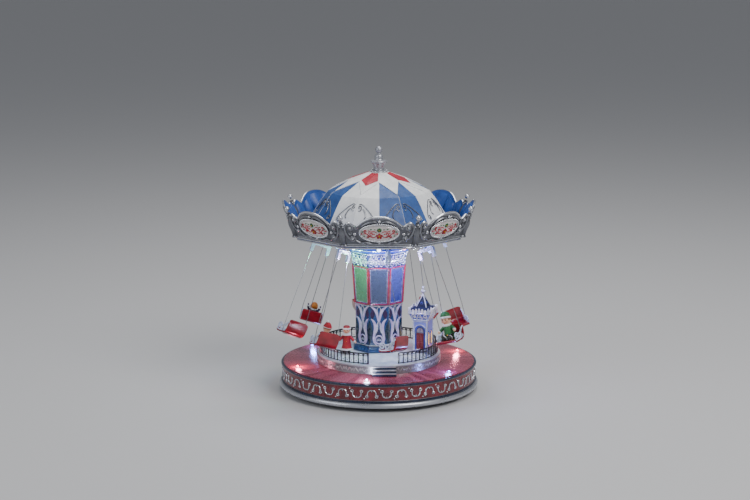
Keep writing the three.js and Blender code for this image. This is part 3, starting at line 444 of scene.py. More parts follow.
def skin(rows, loop=True, closed=False, caps=True):
    """Faces over rows of points. loop joins each row's ends; closed joins the last row to the first."""
    width = len(rows[0])
    faces = []
    count = len(rows) if closed else len(rows) - 1
    for i in range(count):
        here, there = i * width, ((i + 1) % len(rows)) * width
        for j in range(width if loop else width - 1):
            k = (j + 1) % width
            faces.append([here + j, here + k, there + k, there + j])
    if caps and not closed and loop:
        faces.append(list(range(width))[::-1])
        faces.append([(len(rows) - 1) * width + j for j in range(width)])
    return Shape().add([p for row in rows for p in row], faces)


def lathe(profile, segments):
    """A profile of (radius, height) pairs turned about Z. It ends on the axis or closes on itself."""
    rows = [circle(radius, z, segments) for radius, z in profile]
    on_axis = profile[0][0] < 0.01
    return skin(rows, loop=True, closed=not on_axis, caps=False)


def smooth(points, steps):
    """A curve through the points, as more points."""
    points = [Vector(p) for p in points]
    last = len(points) - 1
    if last < 2:
        return points
    made = []
    for i in range(last):
        a, b, c, d = points[max(i - 1, 0)], points[i], points[i + 1], points[min(i + 2, last)]
        for s in range(steps):
            t = s / steps
            made.append(0.5 * (2 * b + (c - a) * t + (2 * a - 5 * b + 4 * c - d) * t * t
                               + (3 * b - 3 * c + d - a) * t ** 3))
    return made + [points[-1]]


def stepped(corners, steps):
    """Points along a closed polygon of vectors, with so many steps to a side."""
    sides = zip(corners, corners[1:] + corners[:1])
    return [a.lerp(b, t / steps) for a, b in sides for t in range(steps)]


def strand(points, radius, sides, closed=False, taper=0.0):
    """A round bar along the points. taper thins its ends by that share."""
    points = [Vector(p) for p in points]
    count = len(points)
    normal = None
    rows = []
    for i, point in enumerate(points):
        if closed:
            along = points[(i + 1) % count] - points[i - 1]
        else:
            along = points[min(i + 1, count - 1)] - points[max(i - 1, 0)]
        along.normalize()
        if normal is None:
            normal = along.orthogonal().normalized()
        normal = (normal - along * normal.dot(along)).normalized()
        side = along.cross(normal)
        t = abs(2 * i / (count - 1) - 1)
        size = radius * (1 - taper * t ** 3)
        ring = angles(sides)
        rows.append([point + size * (normal * math.cos(a) + side * math.sin(a)) for a in ring])
    return skin(rows, loop=True, closed=closed)


def ellipsoid(center, radii, segments, rings):
    rows = []
    for i in range(rings + 1):
        a = math.pi * i / rings - math.pi / 2
        radius = max(math.cos(a), 1e-4)
        rows.append([Vector((radius * math.cos(2 * math.pi * j / segments) * radii[0],
                             radius * math.sin(2 * math.pi * j / segments) * radii[1],
                             math.sin(a) * radii[2])) + Vector(center) for j in range(segments)])
    return skin(rows, caps=False)


def ball(center, radius, segments):
    return ellipsoid(center, (radius,) * 3, segments, segments // 2 + 1)


def slab(outline, low_z, high_z, bevel):
    """An outline of (x, y) pairs raised from low_z to high_z, its upper edge drawn in by bevel."""
    center = sum((Vector(p) for p in outline), Vector((0, 0))) / len(outline)
    levels = [(low_z, 0)]
    levels += [(high_z - bevel, 0), (high_z, bevel)] if bevel else [(high_z, 0)]
    rows = []
    for z, inset in levels:
        row = []
        for x, y in outline:
            away = Vector((x, y)) - center
            length = max(away.length, 1e-6)
            x, y = center + away * ((length - inset) / length)
            row.append((x, y, z))
        rows.append(row)
    return skin(rows)


def block(corner, other, bevel):
    """A box between two corners with softened edges."""
    mesh = bmesh.new()
    bmesh.ops.create_cube(mesh, size=1)
    a, b = Vector(corner), Vector(other)
    for vertex in mesh.verts:
        vertex.co = Vector([a[k] + (vertex.co[k] + 0.5) * (b[k] - a[k]) for k in range(3)])
    bmesh.ops.bevel(mesh, geom=list(mesh.edges), offset=bevel, segments=2, affect="EDGES", profile=0.6)
    mesh.verts.index_update()
    made = Shape().add([v.co.copy() for v in mesh.verts], [[v.index for v in f.verts] for f in mesh.faces])
    mesh.free()
    return made


def piece(name, shape, color, body, slot, replaces=(), angle=35, place=None):
    """Makes a Blender piece of a shape, gives it its paints, and sets it riding on a body."""
    mesh = bpy.data.meshes.new(name)
    mesh.from_pydata([p * MM for p in shape.points], [], shape.faces)
    colors = []
    for i, own in enumerate(shape.paints):
        key = own or color
        if key not in colors:
            colors.append(key)
            mesh.materials.append(PAINT[key])
        mesh.polygons[i].material_index = colors.index(key)
    work = bmesh.new()
    work.from_mesh(mesh)
    bmesh.ops.remove_doubles(work, verts=work.verts, dist=1e-6)
    bmesh.ops.dissolve_degenerate(work, edges=work.edges, dist=1e-7)
    bmesh.ops.recalc_face_normals(work, faces=work.faces)
    work.to_mesh(mesh)
    work.free()
    mesh.shade_smooth()
    mesh.set_sharp_from_angle(angle=math.radians(angle))
    made = linked(name, mesh)
    if place is not None:
        made.matrix_world = place
    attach(made, body)
    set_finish(made, slot)
    if replaces:
        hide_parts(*replaces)
    return made


def copy_of(original, name, body, place, replaces):
    made = linked(name, original.data)
    made.matrix_world = place
    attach(made, body)
    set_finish(made, original["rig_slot"])
    if replaces:
        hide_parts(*replaces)
    return made


# ---- Ornament strokes ----------------------------------------------------------------------------
def curl(x, y, radius, turns, start, hand):
    """Points of a spiral from its outer end (at the angle start, degrees) in to its eye at x, y."""
    made = []
    count = max(int(10 * turns), 4)
    for i in range(count + 1):
        t = i / count
        a = math.radians(start + hand * 360 * turns * t)
        r = radius * (1 - 0.82 * t)
        made.append((x + r * math.cos(a), y + r * math.sin(a)))
    return made


def sided(points, side):
    """Points as drawn for side 1, or mirrored to the left for side -1."""
    return [(side * x, *rest) for x, *rest in points]


def mirrored(stroke):
    return sided(stroke, -1)


def both_sides(strokes):
    """The strokes mirrored to the left, and then the strokes themselves."""
    return [sided(stroke, side) for side in (-1, 1) for stroke in strokes]


def lay(strokes, surface, radius, sides=6, taper=0.5, steps=3):
    """Lays strokes on a surface, a function from (x, y) to a point in space."""
    made = Shape()
    for stroke in strokes:
        path = smooth(stroke, steps)
        made.join(strand([surface(p.x, p.y) for p in path], radius, sides, taper=taper))
    return made


# ---- Base: band, trims, deck and foot ring -------------------------------------------------------
HORSESHOES = 42
BAND_STROKE = 0.68
TRIM_BOTTOM, TRIM_TOP = 10.3, 31
SWITCH_AZIMUTH, SOCKET_AZIMUTH = -165, 165


def on_band(azimuth):
    """The surface of the band around one azimuth: x runs to the right along it and y upwards."""
    def place(x, y, rise=0.25):
        return polar(azimuth + math.degrees(x / BAND_RADIUS), BAND_RADIUS + rise,
                     (BAND_BOTTOM + BAND_TOP) / 2 + y)
    return place


def horseshoe(up):
    """One C of the band's relief: it opens upwards or downwards and its ends curl outwards."""
    side = [(0, -4.2), (2.5, -3.8), (4.3, -1.9), (4.7, 0.5), (4.0, 2.6)]
    tip = curl(5.4, 2.6, 1.9, 1.1, 180, -1)
    bud = [(0, -4.4), (0, -2.2)]
    strokes = [side, tip, bud, mirrored(side), mirrored(tip)]
    return strokes if up else [[(x, -y) for x, y in s] for s in strokes]


def relief_of_band():
    made = Shape()
    for i in range(HORSESHOES):
        azimuth = 360 * (i + 0.5) / HORSESHOES
        surface = on_band(azimuth)
        made.join(lay(horseshoe(i % 2 == 0), surface, BAND_STROKE, sides=6, taper=0.35, steps=2))
        sprig = on_band(azimuth + 180 / HORSESHOES)
        made.join(ball(sprig(0, 5.4 if i % 2 else -5.4), 0.8, 8))
    return made


def opening_cut(shape_object, azimuth, width, low_z, high_z):
    """Cuts a rectangular window through a turned ring at one azimuth."""
    shape = block((-width / 2, -6, low_z), (width / 2, 6, high_z), 0.01)
    shape = shape.moved(turn(azimuth) @ shift(0, -BAND_RADIUS, 0))
    mesh = bpy.data.meshes.new("cutter")
    mesh.from_pydata([p * MM for p in shape.points], [], shape.faces)
    cutter = linked("cutter", mesh)
    modifier = shape_object.modifiers.new("window", "BOOLEAN")
    modifier.object, modifier.operation, modifier.solver = cutter, "DIFFERENCE", "EXACT"
    depsgraph = bpy.context.evaluated_depsgraph_get()
    cut_mesh = bpy.data.meshes.new_from_object(shape_object.evaluated_get(depsgraph))
    shape_object.modifiers.clear()
    shape_object.data = cut_mesh
    bpy.data.objects.remove(cutter)


def make_base():
    half = []
    count = 14
    middle = (RING_BOTTOM + RING_TOP) / 2
    for i in range(count + 1):
        a = math.pi * i / count - math.pi / 2
        half.append((RING_RADIUS - 3.2 + 3.2 * math.cos(a), middle + 3 * math.sin(a)))
    ring = lathe(half + [(101, RING_TOP), (101, RING_BOTTOM)], ROUND)
    piece("foot_ring_skin", ring, "ring", "root", "silver_paint", ["foot_ring"])

    wall = lathe([(BAND_RADIUS, BAND_BOTTOM + 0.05), (BAND_RADIUS, BAND_TOP - 0.05),
                  (BAND_RADIUS - 2, BAND_TOP - 0.05), (BAND_RADIUS - 2, BAND_BOTTOM + 0.05)], ROUND)
    band = piece("band_wall", wall, "band", "root", "band_paint", ["base_housing"])
    opening_cut(band, SWITCH_AZIMUTH, 13, 17, 23)
    opening_cut(band, SOCKET_AZIMUTH, 10, 15.4, 24.6)

    def trim(low_z, high_z):
        soft = 0.45
        outer = TRIM_RADIUS
        return lathe([(outer, low_z + soft), (outer, high_z - soft), (outer - 0.13, high_z - 0.13),
                      (outer - soft, high_z), (BAND_RADIUS - 2.4, high_z), (BAND_RADIUS - 2.4, low_z),
                      (outer - soft, low_z), (outer - 0.13, low_z + 0.13)], ROUND)
    piece("lower_trim", trim(TRIM_BOTTOM, BAND_BOTTOM), "navy", "root", "band_paint")
    piece("upper_trim", trim(BAND_TOP, TRIM_TOP), "navy", "root", "band_paint")
    for name, z in (("lower_bead", BAND_BOTTOM + 0.5), ("upper_bead", BAND_TOP - 0.5)):
        path = circle(BAND_RADIUS + 0.1, z, ROUND)
        piece(name, strand(path, 0.42, 6, closed=True), "silver", "root", "silver_paint")
    piece("band_relief", relief_of_band(), "bright", "root", "silver_paint")

    deck = lathe([(DECK_RADIUS, TRIM_TOP + 0.05), (DECK_RADIUS, DECK_TOP - 0.35),
                  (DECK_RADIUS - 0.1, DECK_TOP - 0.1), (DECK_RADIUS - 0.35, DECK_TOP),
                  (11, DECK_TOP), (11, DECK_TOP - 1.6), (DECK_RADIUS - 2, DECK_TOP - 1.6),
                  (DECK_RADIUS - 2, TRIM_TOP + 0.05)], ROUND)
    piece("deck", deck, "deck", "root", "band_paint")
    make_deck_lamps()


LAMP_COLORS = ("white_lamp", "blue_lamp", "red_lamp") * 2


def make_deck_lamps():
    """Six lit lenses in small bright collars on the deck."""
    for i, color in enumerate(LAMP_COLORS):
        center = polar(FIRST_LAMP + 60 * i, LAMP_CIRCLE, DECK_TOP)
        dome = [(AXIS, 0.1), (1.35, 0.1), (1.35, 0.9), (1.2, 1.55), (0.8, 2.05), (0.35, 2.25), (AXIS, 2.3)]
        lens = lathe(dome, 20).moved(Matrix.Translation(center))
        replaced = ["deck_lamps"] if i == 0 else []
        piece(f"deck_lamp_{i + 1}", lens, color, "root", "lamp", replaced)
        collar = lathe([(1.5, 0.02), (2.5, 0.02), (2.5, 0.35), (2.1, 0.7), (1.6, 0.7), (1.5, 0.5)], 24)
        piece(f"deck_lamp_collar_{i + 1}", collar.moved(Matrix.Translation(center)), "bright", "root",
              "silver_paint")


# ---- Stage: riser, snow floor, steps and fence ---------------------------------------------------
STEP_X, STEP_WIDTH, STEP_TREAD, STEP_RISE = 5.8, 26.4, 3.2, 3.17
STEPS_AZIMUTH = math.degrees(math.asin(STEP_X / STAGE_RADIUS))
FENCE_PITCH = 5.5
DRIFT = 0.22


def make_stage():
    edge = STAGE_EDGE
    riser = lathe([(STAGE_RADIUS, STAGE_FOOT), (69.9, 33.2), (69.35, edge - 2.2), (69.9, edge - 1.6),
                   (69.9, edge - 0.8), (69.2, edge - 0.5), (64, edge - 0.5), (64, STAGE_FOOT)], ROUND)
    piece("stage_riser", riser, "riser", "root", "silver_paint", ["stage_platform"])
    made = Shape()
    count = 44
    for i in range(count):
        azimuth = 360 * (i + 0.5) / count
        if abs((azimuth - STEPS_AZIMUTH + 180) % 360 - 180) < 12:
            continue  # the steps stand here

        def place(x, y, a=azimuth):
            return polar(a + math.degrees(x / STAGE_RADIUS), 69.75, 36.6 + y)
        hand = 1 if i % 2 else -1
        body = [(-3.6 * hand, -2.2), (-1.6 * hand, 2.1), (1.6 * hand, -2.1), (3.6 * hand, 2.2)]
        made.join(lay([body, curl(-3.0 * hand, -0.6, 1.6, 0.8, 250, -hand),
                       curl(3.0 * hand, 0.6, 1.6, 0.8, 70, -hand)], place, 0.42, steps=2))
        made.join(ball(place(4.7, 0), 0.6, 8))
    piece("riser_relief", made, "frieze", "root", "silver_paint")

    top = [(AXIS, edge - 0.4), (69, edge - 0.4), (69.35, edge - 0.1), (69.2, edge + 0.3),
           (66, edge + 0.85), (52, edge + 2.3), (40, edge + 3.6), (30, STAGE_TOP - 0.2),
           (20, STAGE_TOP - 0.05), (AXIS, STAGE_TOP)]
    rows = []
    for radius, z in top:
        row = []
        for j in range(144):
            a = 360 * j / 144
            swell = math.sin(math.radians(3 * a) + radius / 9) * math.sin(radius / 6)
            drift = DRIFT * (swell - 1) if 24 < radius < 66 else 0
            row.append(polar(a, radius, z + drift))
        rows.append(row)
    piece("snow_floor", skin(rows, caps=False), "snow", "root", "snow")


def make_steps():
    made = Shape()
    front = low("stage_steps").y
    for i in range(3):
        low_y = front + i * STEP_TREAD
        top = STAGE_FOOT + (i + 1) * STEP_RISE
        inset = i * 0.15
        made.put("navy", block((STEP_X - STEP_WIDTH / 2 + inset, low_y + 0.5, 32.32),
                               (STEP_X + STEP_WIDTH / 2 - inset, high("stage_steps").y, top - 0.9), 0.15))
        made.put("frieze", block((STEP_X - STEP_WIDTH / 2 + inset, low_y, top - 0.95),
                                 (STEP_X + STEP_WIDTH / 2 - inset, high("stage_steps").y, top), 0.3))
    piece("steps", made, "frieze", "root", "silver_paint", ["stage_steps"], angle=50)


def make_fence():
    made = Shape()
    sweep = FENCE_END - FENCE_START
    count = round(math.radians(sweep) * FENCE_RADIUS / FENCE_PITCH)
    for z, radius in ((FENCE_BOTTOM + 0.75, 0.6), (FENCE_TOP - 0.7, 0.62), (FENCE_TOP - 3.3, 0.42)):
        path = [polar(FENCE_START + sweep * i / 160, FENCE_RADIUS, z) for i in range(161)]
        made.join(strand(path, radius, 6))
    for i in range(count + 1):
        azimuth = FENCE_START + sweep * i / count
        tall = i in (0, count)
        foot = polar(azimuth, FENCE_RADIUS, FENCE_BOTTOM + 0.02)
        head = polar(azimuth, FENCE_RADIUS, FENCE_TOP - 0.6)
        made.join(strand([foot, head], 0.95 if tall else 0.68, 8))
        knot = foot.lerp(head, 0.42)
        made.join(ellipsoid(knot, (0.85, 0.85, 1.1), 8, 6))
        if not tall:
            middle = azimuth + sweep / count / 2
            arch = []
            for k in range(9):
                t = k / 8
                a = azimuth + sweep / count * t
                arch.append(polar(a, FENCE_RADIUS, FENCE_TOP - 3.3 + 2.1 * math.sin(math.pi * t)))
            made.join(strand(arch, 0.4, 5))
            made.join(ball(polar(middle, FENCE_RADIUS, FENCE_BOTTOM + 3.2), 0.62, 7))
    piece("fence", made, "black", "root", "black_plastic", ["stage_fence"])


# ---- Castle --------------------------------------------------------------------------------------
CASTLE = shift(49.9, -8.1, 0) @ turn(-19)
CASTLE_X, CASTLE_Y = 7.8, 11
CASTLE_FLOOR, WALL_TOP, STOREY_TOP, EAVES, APEX = 46.3, 82, 90, 92.5, 109
STOREY_RISE = 7
DOOR_HALF, DOOR_FOOT, DOOR_SPRING = 5.2, 47.3, 69.3


def arch_outline(half, foot, spring, steps=14, point=1.0):
    """An arched opening as (x, z) pairs; point above 1 makes the arch taller than round."""
    outline = [(-half, foot), (half, foot)]
    for i in range(steps + 1):
        a = math.pi * i / steps
        outline.append((half * math.cos(a), spring + half * point * math.sin(a)))
    return outline


def panel(outline, low_y, high_y, bevel=0.0):
    """An outline of (x, z) pairs, upright and facing -Y, from low_y (front) back to high_y."""
    made = slab(outline, 0, high_y - low_y, bevel)
    return made.moved(shift(0, high_y, 0) @ turn(90, "X"))


def ribbon(outline, width, low_y, high_y, closed=False):
    """A moulding along an outline of (x, z) pairs, width wide, facing -Y."""
    count = len(outline)
    rows = []
    for i, (x, z) in enumerate(outline):
        before = Vector(outline[(i - 1) % count] if closed or i else outline[0])
        after = Vector(outline[(i + 1) % count] if closed or i < count - 1 else outline[-1])
        along = (after - before).normalized()
        out = Vector((along.y, -along.x)) * width / 2
        inner, outer = Vector((x, z)) - out, Vector((x, z)) + out
        mid_y = low_y + (high_y - low_y) * 0.35
        section = ((0, high_y), (0, mid_y), (0.25, low_y), (0.75, low_y), (1, mid_y), (1, high_y))
        across = [(inner.lerp(outer, share), y) for share, y in section]
        rows.append([(point.x, y, point.y) for point, y in across])
    return skin(rows, closed=closed)


def castle_walls():
    """The tower as one loft: straight walls that flare out into the upper storey."""
    x, y = CASTLE_X, CASTLE_Y
    corners = rectangle(-x, -y, x, y)
    levels = ((0, CASTLE_FLOOR), (0, WALL_TOP - 2), (0.6, WALL_TOP - 1.2), (1.0, WALL_TOP), (2.6, 85.5),
              (4.6, STOREY_TOP), (4.6, 91.8))
    return skin([[(cx * (1 + grow / x), cy * (1 + grow / y), z) for cx, cy in corners]
                 for grow, z in levels])


def front_of_castle():
    """Door, its surround and fanlight, on the castle's -Y face."""
    y = -CASTLE_Y
    made = Shape()
    recess = arch_outline(DOOR_HALF, DOOR_FOOT, DOOR_SPRING)
    made.put("teal_deep", panel(recess, y - 0.12, y + 0.4))
    door = rectangle(-4.2, DOOR_FOOT + 0.1, 4.2, 66.6)
    made.put("door", panel(door, y - 0.5, y + 0.2, 0.3))
    for low_z, high_z in ((48.8, 56.4), (57.8, 65.2)):
        for x in (-2.1, 2.1):
            board = rectangle(x - 1.5, low_z, x + 1.5, high_z)
            made.put("door", panel(board, y - 0.85, y - 0.3, 0.35))
    made.put("gold", ball((3.5, y - 0.9, 57.0), 0.5, 8))
    for side in (-1, 1):
        pane = [(side * 0.35, 67.6)]
        for i in range(9):
            a = math.pi / 2 * i / 8
            pane.append((side * (0.35 + 3.5 * math.cos(a)), 67.6 + 5.0 * math.sin(a)))
        made.put("transom", panel(pane, y - 0.45, y + 0.1, 0.15))
    jamb = arch_outline(DOOR_HALF, DOOR_FOOT, DOOR_SPRING)[1:] + [(-DOOR_HALF, DOOR_FOOT)]
    made.put("arch", ribbon(jamb, 1.8, y - 1.1, y + 0.3))
    hood = [(-6.8, 68.6)]
    for i in range(15):
        a = math.pi - math.pi * i / 14
        hood.append((6.8 * math.cos(a), 69.3 + 6.9 * math.sin(a)))
    made.put("pearl", ribbon(hood, 0.9, y - 0.7, y + 0.3))
    for x in (-6.9, 6.9):
        made.put("pearl", panel(rectangle(x - 0.7, DOOR_FOOT, x + 0.7, 68.4), y - 0.45, y + 0.2, 0.25))
    made.put("pearl", block((-5.4, y - 2.4, 46.5), (5.4, y, 47.25), 0.25))
    return made


def castle_windows():
    """Tall pointed windows on the sides, lit from inside."""
    made = Shape()
    wall = -CASTLE_X
    for x in (-4.8, 4.8):
        light = [(x + px, z) for px, z in arch_outline(2.5, 52.4, 63.0, 10, 1.9)]
        made.put("window", panel(light, wall - 0.15, wall + 0.4))
        made.put("arch", ribbon(light[1:] + light[:1], 0.6, wall - 0.75, wall + 0.2, True))
        made.put("arch", panel(rectangle(x - 0.15, 52.4, x + 0.15, 66.6), wall - 0.45, wall))
    sides = Shape()
    for degrees in (90, -90):
        sides.join(made.moved(turn(degrees)))
    return sides


def castle_trim():
    """Corner mouldings with their blocks, and the ledges round the tower."""
    made = Shape()
    for sx in (-1, 1):
        for sy in (-1, 1):
            x, y = sx * CASTLE_X, sy * CASTLE_Y
            foot, head = Vector((x, y, CASTLE_FLOOR + 0.2)), Vector((x, y, WALL_TOP - 1))
            made.put("pearl", strand([foot, head], 0.75, 8))
            for i in range(6):
                z = 50 + i * 5.6
                made.put("pearl", block((x - 1, y - 1, z), (x + 1, y + 1, z + 1.5), 0.3))
    for z, grow, radius in ((WALL_TOP, 1.1, 0.8), (WALL_TOP - 2.2, 0.2, 0.45), (STOREY_TOP, 4.5, 0.8),
                            (CASTLE_FLOOR + 1.2, 0.3, 0.8)):
        x, y = CASTLE_X + grow, CASTLE_Y + grow
        corners = [Vector((cx, cy, z)) for cx, cy in rectangle(-x, -y, x, y)]
        made.put("pearl", strand(stepped(corners, 6), radius, 6, closed=True))
    return made


def storey_face(half):
    """The upper storey's relief on one face, as strokes of (x, height share)."""
    strokes = []
    count = max(round(half * 2 / 5.2), 2)
    pitch = half * 2 / count
    for i in range(count):
        x = -half + pitch * (i + 0.5)
        strokes.append([(x - pitch * 0.42, 0.08), (x - pitch * 0.3, 0.6), (x, 0.95), (x + pitch * 0.3, 0.6),
                        (x + pitch * 0.42, 0.08)])
        strokes.append([(px, 0.42 + (pz - 0.42) / STOREY_RISE) for px, pz in curl(x, 0.42, 1.3, 1.1, 270, 1)])
    return strokes


def castle_storey():
    """The flared upper storey: blue panels with white relief, under a jagged crown of icicles."""
    made = Shape()
    faces = ((0, CASTLE_X, CASTLE_Y), (90, CASTLE_Y, CASTLE_X), (180, CASTLE_X, CASTLE_Y),
             (270, CASTLE_Y, CASTLE_X))
    for degrees, half, out in faces:
        def place(x, share, rise=0.0, out=out):
            grow = 1.0 + 3.6 * min(max(share, 0), 1.2)
            return Vector((x * (1 + grow * 0.09), -(out + grow + rise), WALL_TOP + 0.5 + STOREY_RISE * share))
        wide = half * 0.98
        ground = plate_on(place, rectangle(-wide, 0.04, wide, 0.98), -0.1, 0.35)
        made.put("storey_blue", ground.moved(turn(degrees)))
        strokes = storey_face(half)
        made.put("fur", lay(strokes, lambda x, y: place(x, y, 0.35), 0.5, sides=6, taper=0.3)
                 .moved(turn(degrees)))
        width = half + 4.7
        count = round(width * 2 / 3.4)
        for i in range(count):
            x = -width + (i + 0.5) * width * 2 / count
            drop = 1.2 + 2.6 * RANDOM.random()
            top = 94.4 + 3.0 * RANDOM.random()
            y = -(out + 4.9)
            tooth = [(x - 1.3, 91.5), (x - 0.8, 90.6 - drop * 0.5), (x, 90.6 - drop),
                     (x + 0.8, 90.6 - drop * 0.5), (x + 1.3, 91.5), (x + 1.4, 93.2), (x + 0.7, top - 0.8),
                     (x, top), (x - 0.7, top - 0.8), (x - 1.4, 93.2)]
            made.put("fur" if i % 3 else "pearl", panel(tooth, y - 0.35, y + 0.75, 0.3).moved(turn(degrees)))
    return made


def castle_roof():
    """The steep four-sided roof with ribs, a round light on each side and a turned knob."""
    made = Shape()
    x, y = CASTLE_X + 3.6, CASTLE_Y + 3.6
    corners = rectangle(-x, -y, x, y)
    levels = ((1.0, EAVES + 0.4), (1.0, EAVES + 1.1), (0.52, 95.4), (0.42, 98.6), (0.19, 104.6), (0.02, APEX))
    made.put("roof_navy", skin([[(cx * share, cy * share, z) for cx, cy in corners] for share, z in levels]))
    for cx, cy in corners:
        rib = [(cx * share, cy * share, z + 0.1) for share, z in levels[2:]]
        made.put("pearl", strand(rib, 0.7, 8))
    for degrees, out in ((0, y), (180, y), (90, x), (270, x)):
        ring = [(1.1 * math.cos(a), 99.8 + 1.1 * math.sin(a)) for a in angles(16)]
        face = -out * 0.38
        made.put("storey_blue", ribbon(ring, 0.7, face - 0.5, face + 1.4, True).moved(turn(degrees)))
    knob = lathe([(AXIS, 107.4), (1.5, 107.4), (1.0, 108.4), (0.8, 110.2), (1.4, 110.9), (2.6, 111.8),
                  (2.9, 112.7), (2.5, 113.7), (1.1, 114.4), (0.7, 115.0), (0.9, 115.5), (1.4, 116.2),
                  (1.55, 117.0), (1.3, 117.8), (0.6, 118.4), (AXIS, 118.5)], 24)
    made.put("pearl", knob)
    return made


def make_castle():
    piece("castle_walls", castle_walls().moved(CASTLE), "wall", "root", "blue_paint", ["castle_tower"])
    piece("castle_door", front_of_castle().moved(CASTLE), "arch", "root", "lavender")
    piece("castle_windows", castle_windows().moved(CASTLE), "window", "root", "lamp", ["castle_lamp"])
    piece("castle_trim", castle_trim().moved(CASTLE), "pearl", "root", "lavender")
    piece("castle_storey", castle_storey().moved(CASTLE), "pearl", "root", "lavender")
    piece("castle_spire", castle_roof().moved(CASTLE), "teal_deep", "root", "blue_paint", ["castle_roof"])


# ---- Figures -------------------------------------------------------------------------------------
def face_of(center, radius, hair="hair"):
    """A doll's head with its front at -Y: cheeks, nose, eyes, mouth and hair."""
    c = Vector(center)
    r = radius
    made = ellipsoid(c, (r, r * 0.97, r * 1.04), 24, 16).painted("skin")

    def lump(color, place, radii, segments=10):
        """A rounded feature; its place and radii are shares of the head's radius."""
        made.put(color, ellipsoid(c + r * Vector(place), r * Vector(radii), segments, 6))

    for s in (-1, 1):
        lump("eye", (s * 0.36, -0.87, 0.16), (0.12, 0.08, 0.16))
        lump("cheek", (s * 0.52, -0.74, -0.2), (0.22, 0.14, 0.16))
        lump("skin", (s * 0.97, 0, 0), (0.12, 0.18, 0.22), 8)
        brow = [(s * (0.2 + 0.16 * k), -0.86 + 0.04 * k * k, 0.47 if k == 1 else 0.42) for k in range(3)]
        made.put(hair, strand(smooth([c + r * Vector(point) for point in brow], 3), r * 0.045, 5))
    lump("skin", (0, -0.98, -0.05), (0.12, 0.12, 0.12))
    mouth = [(0.26 * k, -0.88 + 0.05 * k * k, -0.46 + 0.1 * k * k) for k in (-1, 0, 1)]
    made.put("lip", strand(smooth([c + r * Vector(point) for point in mouth], 4), r * 0.06, 5))
    scalp = []
    for i in range(9):
        a = math.radians(-2 + 92 * i / 8)
        out, up = math.cos(a), math.sin(a)
        ring = [(1.1 * out * math.cos(t), 0.14 + 1.02 * out * math.sin(t), 1.12 * up) for t in angles(20)]
        scalp.append([c + r * Vector(point) for point in ring])
    made.put(hair, skin(scalp))
    return made


def hand(center, radius):
    c = Vector(center)
    made = ellipsoid(c, (radius, radius, radius * 1.15), 10, 8)
    made.join(ellipsoid(c + Vector((radius * 0.6, -radius * 0.4, radius * 0.4)), (radius * 0.4,) * 3, 8, 6))
    return made.painted("skin")


def make_child():
    made = Shape()
    coat = [(AXIS, 50), (6.0, 49.8), (6.3, 50.6), (5.4, 52), (4.4, 58), (3.9, 63), (3.3, 66.4),
            (AXIS, 67)]
    made.put("coat", lathe(coat, 32))
    made.put("fur", lathe([(4.6, 49.2), (6.5, 49.2), (6.9, 50.2), (6.5, 51.2), (4.6, 51.2)], 32))
    for y, z in ((-4.9, 55), (-4.4, 59), (-3.95, 63)):
        made.put("gold", ball((0, y, z), 0.5, 8))
    made.put("fur", lathe([(2.4, 65.8), (4.4, 65.8), (4.9, 66.9), (4.4, 68.1), (2.4, 68.3)], 28))
    made.join(face_of((0, 0, 71.6), 4.1))
    made.put("fur", lathe([(2.6, 72.9), (4.5, 72.6), (4.95, 73.5), (4.5, 74.4), (2.6, 74.2)], 28))
    made.put("coat", lathe([(AXIS, 73.8), (4.1, 73.8), (3.9, 75.2), (2.6, 76.4), (AXIS, 76.7)], 28))
    for s in (-1, 1):
        sleeve = smooth(sided([(3.0, 0, 64.6), (5.6, -0.5, 62.6), (8.6, -1, 59.6)], s), 5)
        made.put("coat", strand(sleeve, 1.6, 12))
        made.put("fur", ellipsoid((s * 9.0, -1, 59.2), (1.25, 1.6, 1.6), 12, 8))
        made.join(hand((s * 10.1, -1, 58.2), 1.2))
        made.put("boot", strand(sided([(2.6, 0, 50.4), (2.9, -0.2, 47.6)], s), 1.5, 12))
        made.put("boot", ellipsoid((s * 3.1, -1.2, 46.6), (1.75, 2.9, 1.35), 14, 8))
        made.put("fur", lathe([(1.2, 48.6), (1.75, 48.6), (1.9, 49.1), (1.75, 49.6), (1.2, 49.6)], 16)
                 .moved(shift(s * 2.7, 0, 0)))
    place = shift(-36, -25, 0.4) @ turn(-12)
    piece("child", made.moved(place), "coat", "root", "coat_red", ["standing_child"])


# ---- Column --------------------------------------------------------------------------------------
def on_facet(index, apothem_of):
    """A facet of the column: x to the right, y is the height in mm, rise is how far it stands out."""
    def place(x, y, rise=0.0):
        return turn(index * FACET) @ Vector((x, -(apothem_of(y) + rise), y))
    return place


def half_side(apothem):
    """Half the width of a side of an eight-sided level."""
    return math.tan(math.radians(HALF_FACET)) * apothem


def lower_apothem(z):
    return 25.8 + 0.4 * (z - LOWER_BOTTOM) / (LOWER_TOP - LOWER_BOTTOM)


def sleeve_apothem(z):
    return 26.2 + 2.7 * (z - MIRROR_BOTTOM) / (MIRROR_TOP - MIRROR_BOTTOM)


def lace_apothem(z):
    if z < LACE_WAIST:
        return 29.7 + 0.6 * (z - LACE_BOTTOM) / (LACE_WAIST - LACE_BOTTOM)
    return 30.3 + 2.7 * (z - LACE_WAIST) / (LACE_TOP - LACE_WAIST)


def prism(levels):
    """An eight-sided solid through (apothem, height) levels."""
    return skin([octagon(apothem, z) for apothem, z in levels])


def leaf(surface, points, widths, height=0.9):
    """A raised tapered leaf on a surface: its middle line as (x, y) pairs and its half widths along it."""
    path = smooth(points, 4)
    last = len(path) - 1
    rows = []
    for i, point in enumerate(path):
        along = (path[min(i + 1, last)] - path[max(i - 1, 0)]).normalized()
        side = Vector((-along.y, along.x))
        t = i / last * (len(widths) - 1)
        k = min(int(t), len(widths) - 2)
        half = widths[k] + (widths[k + 1] - widths[k]) * (t - k)
        section = ((-1, -0.2), (-0.7, height * 0.75), (0, height), (0.7, height * 0.75), (1, -0.2))
        rows.append([surface(point.x + side.x * half * u, point.y + side.y * half * u, rise)
                     for u, rise in section])
    return skin(rows)


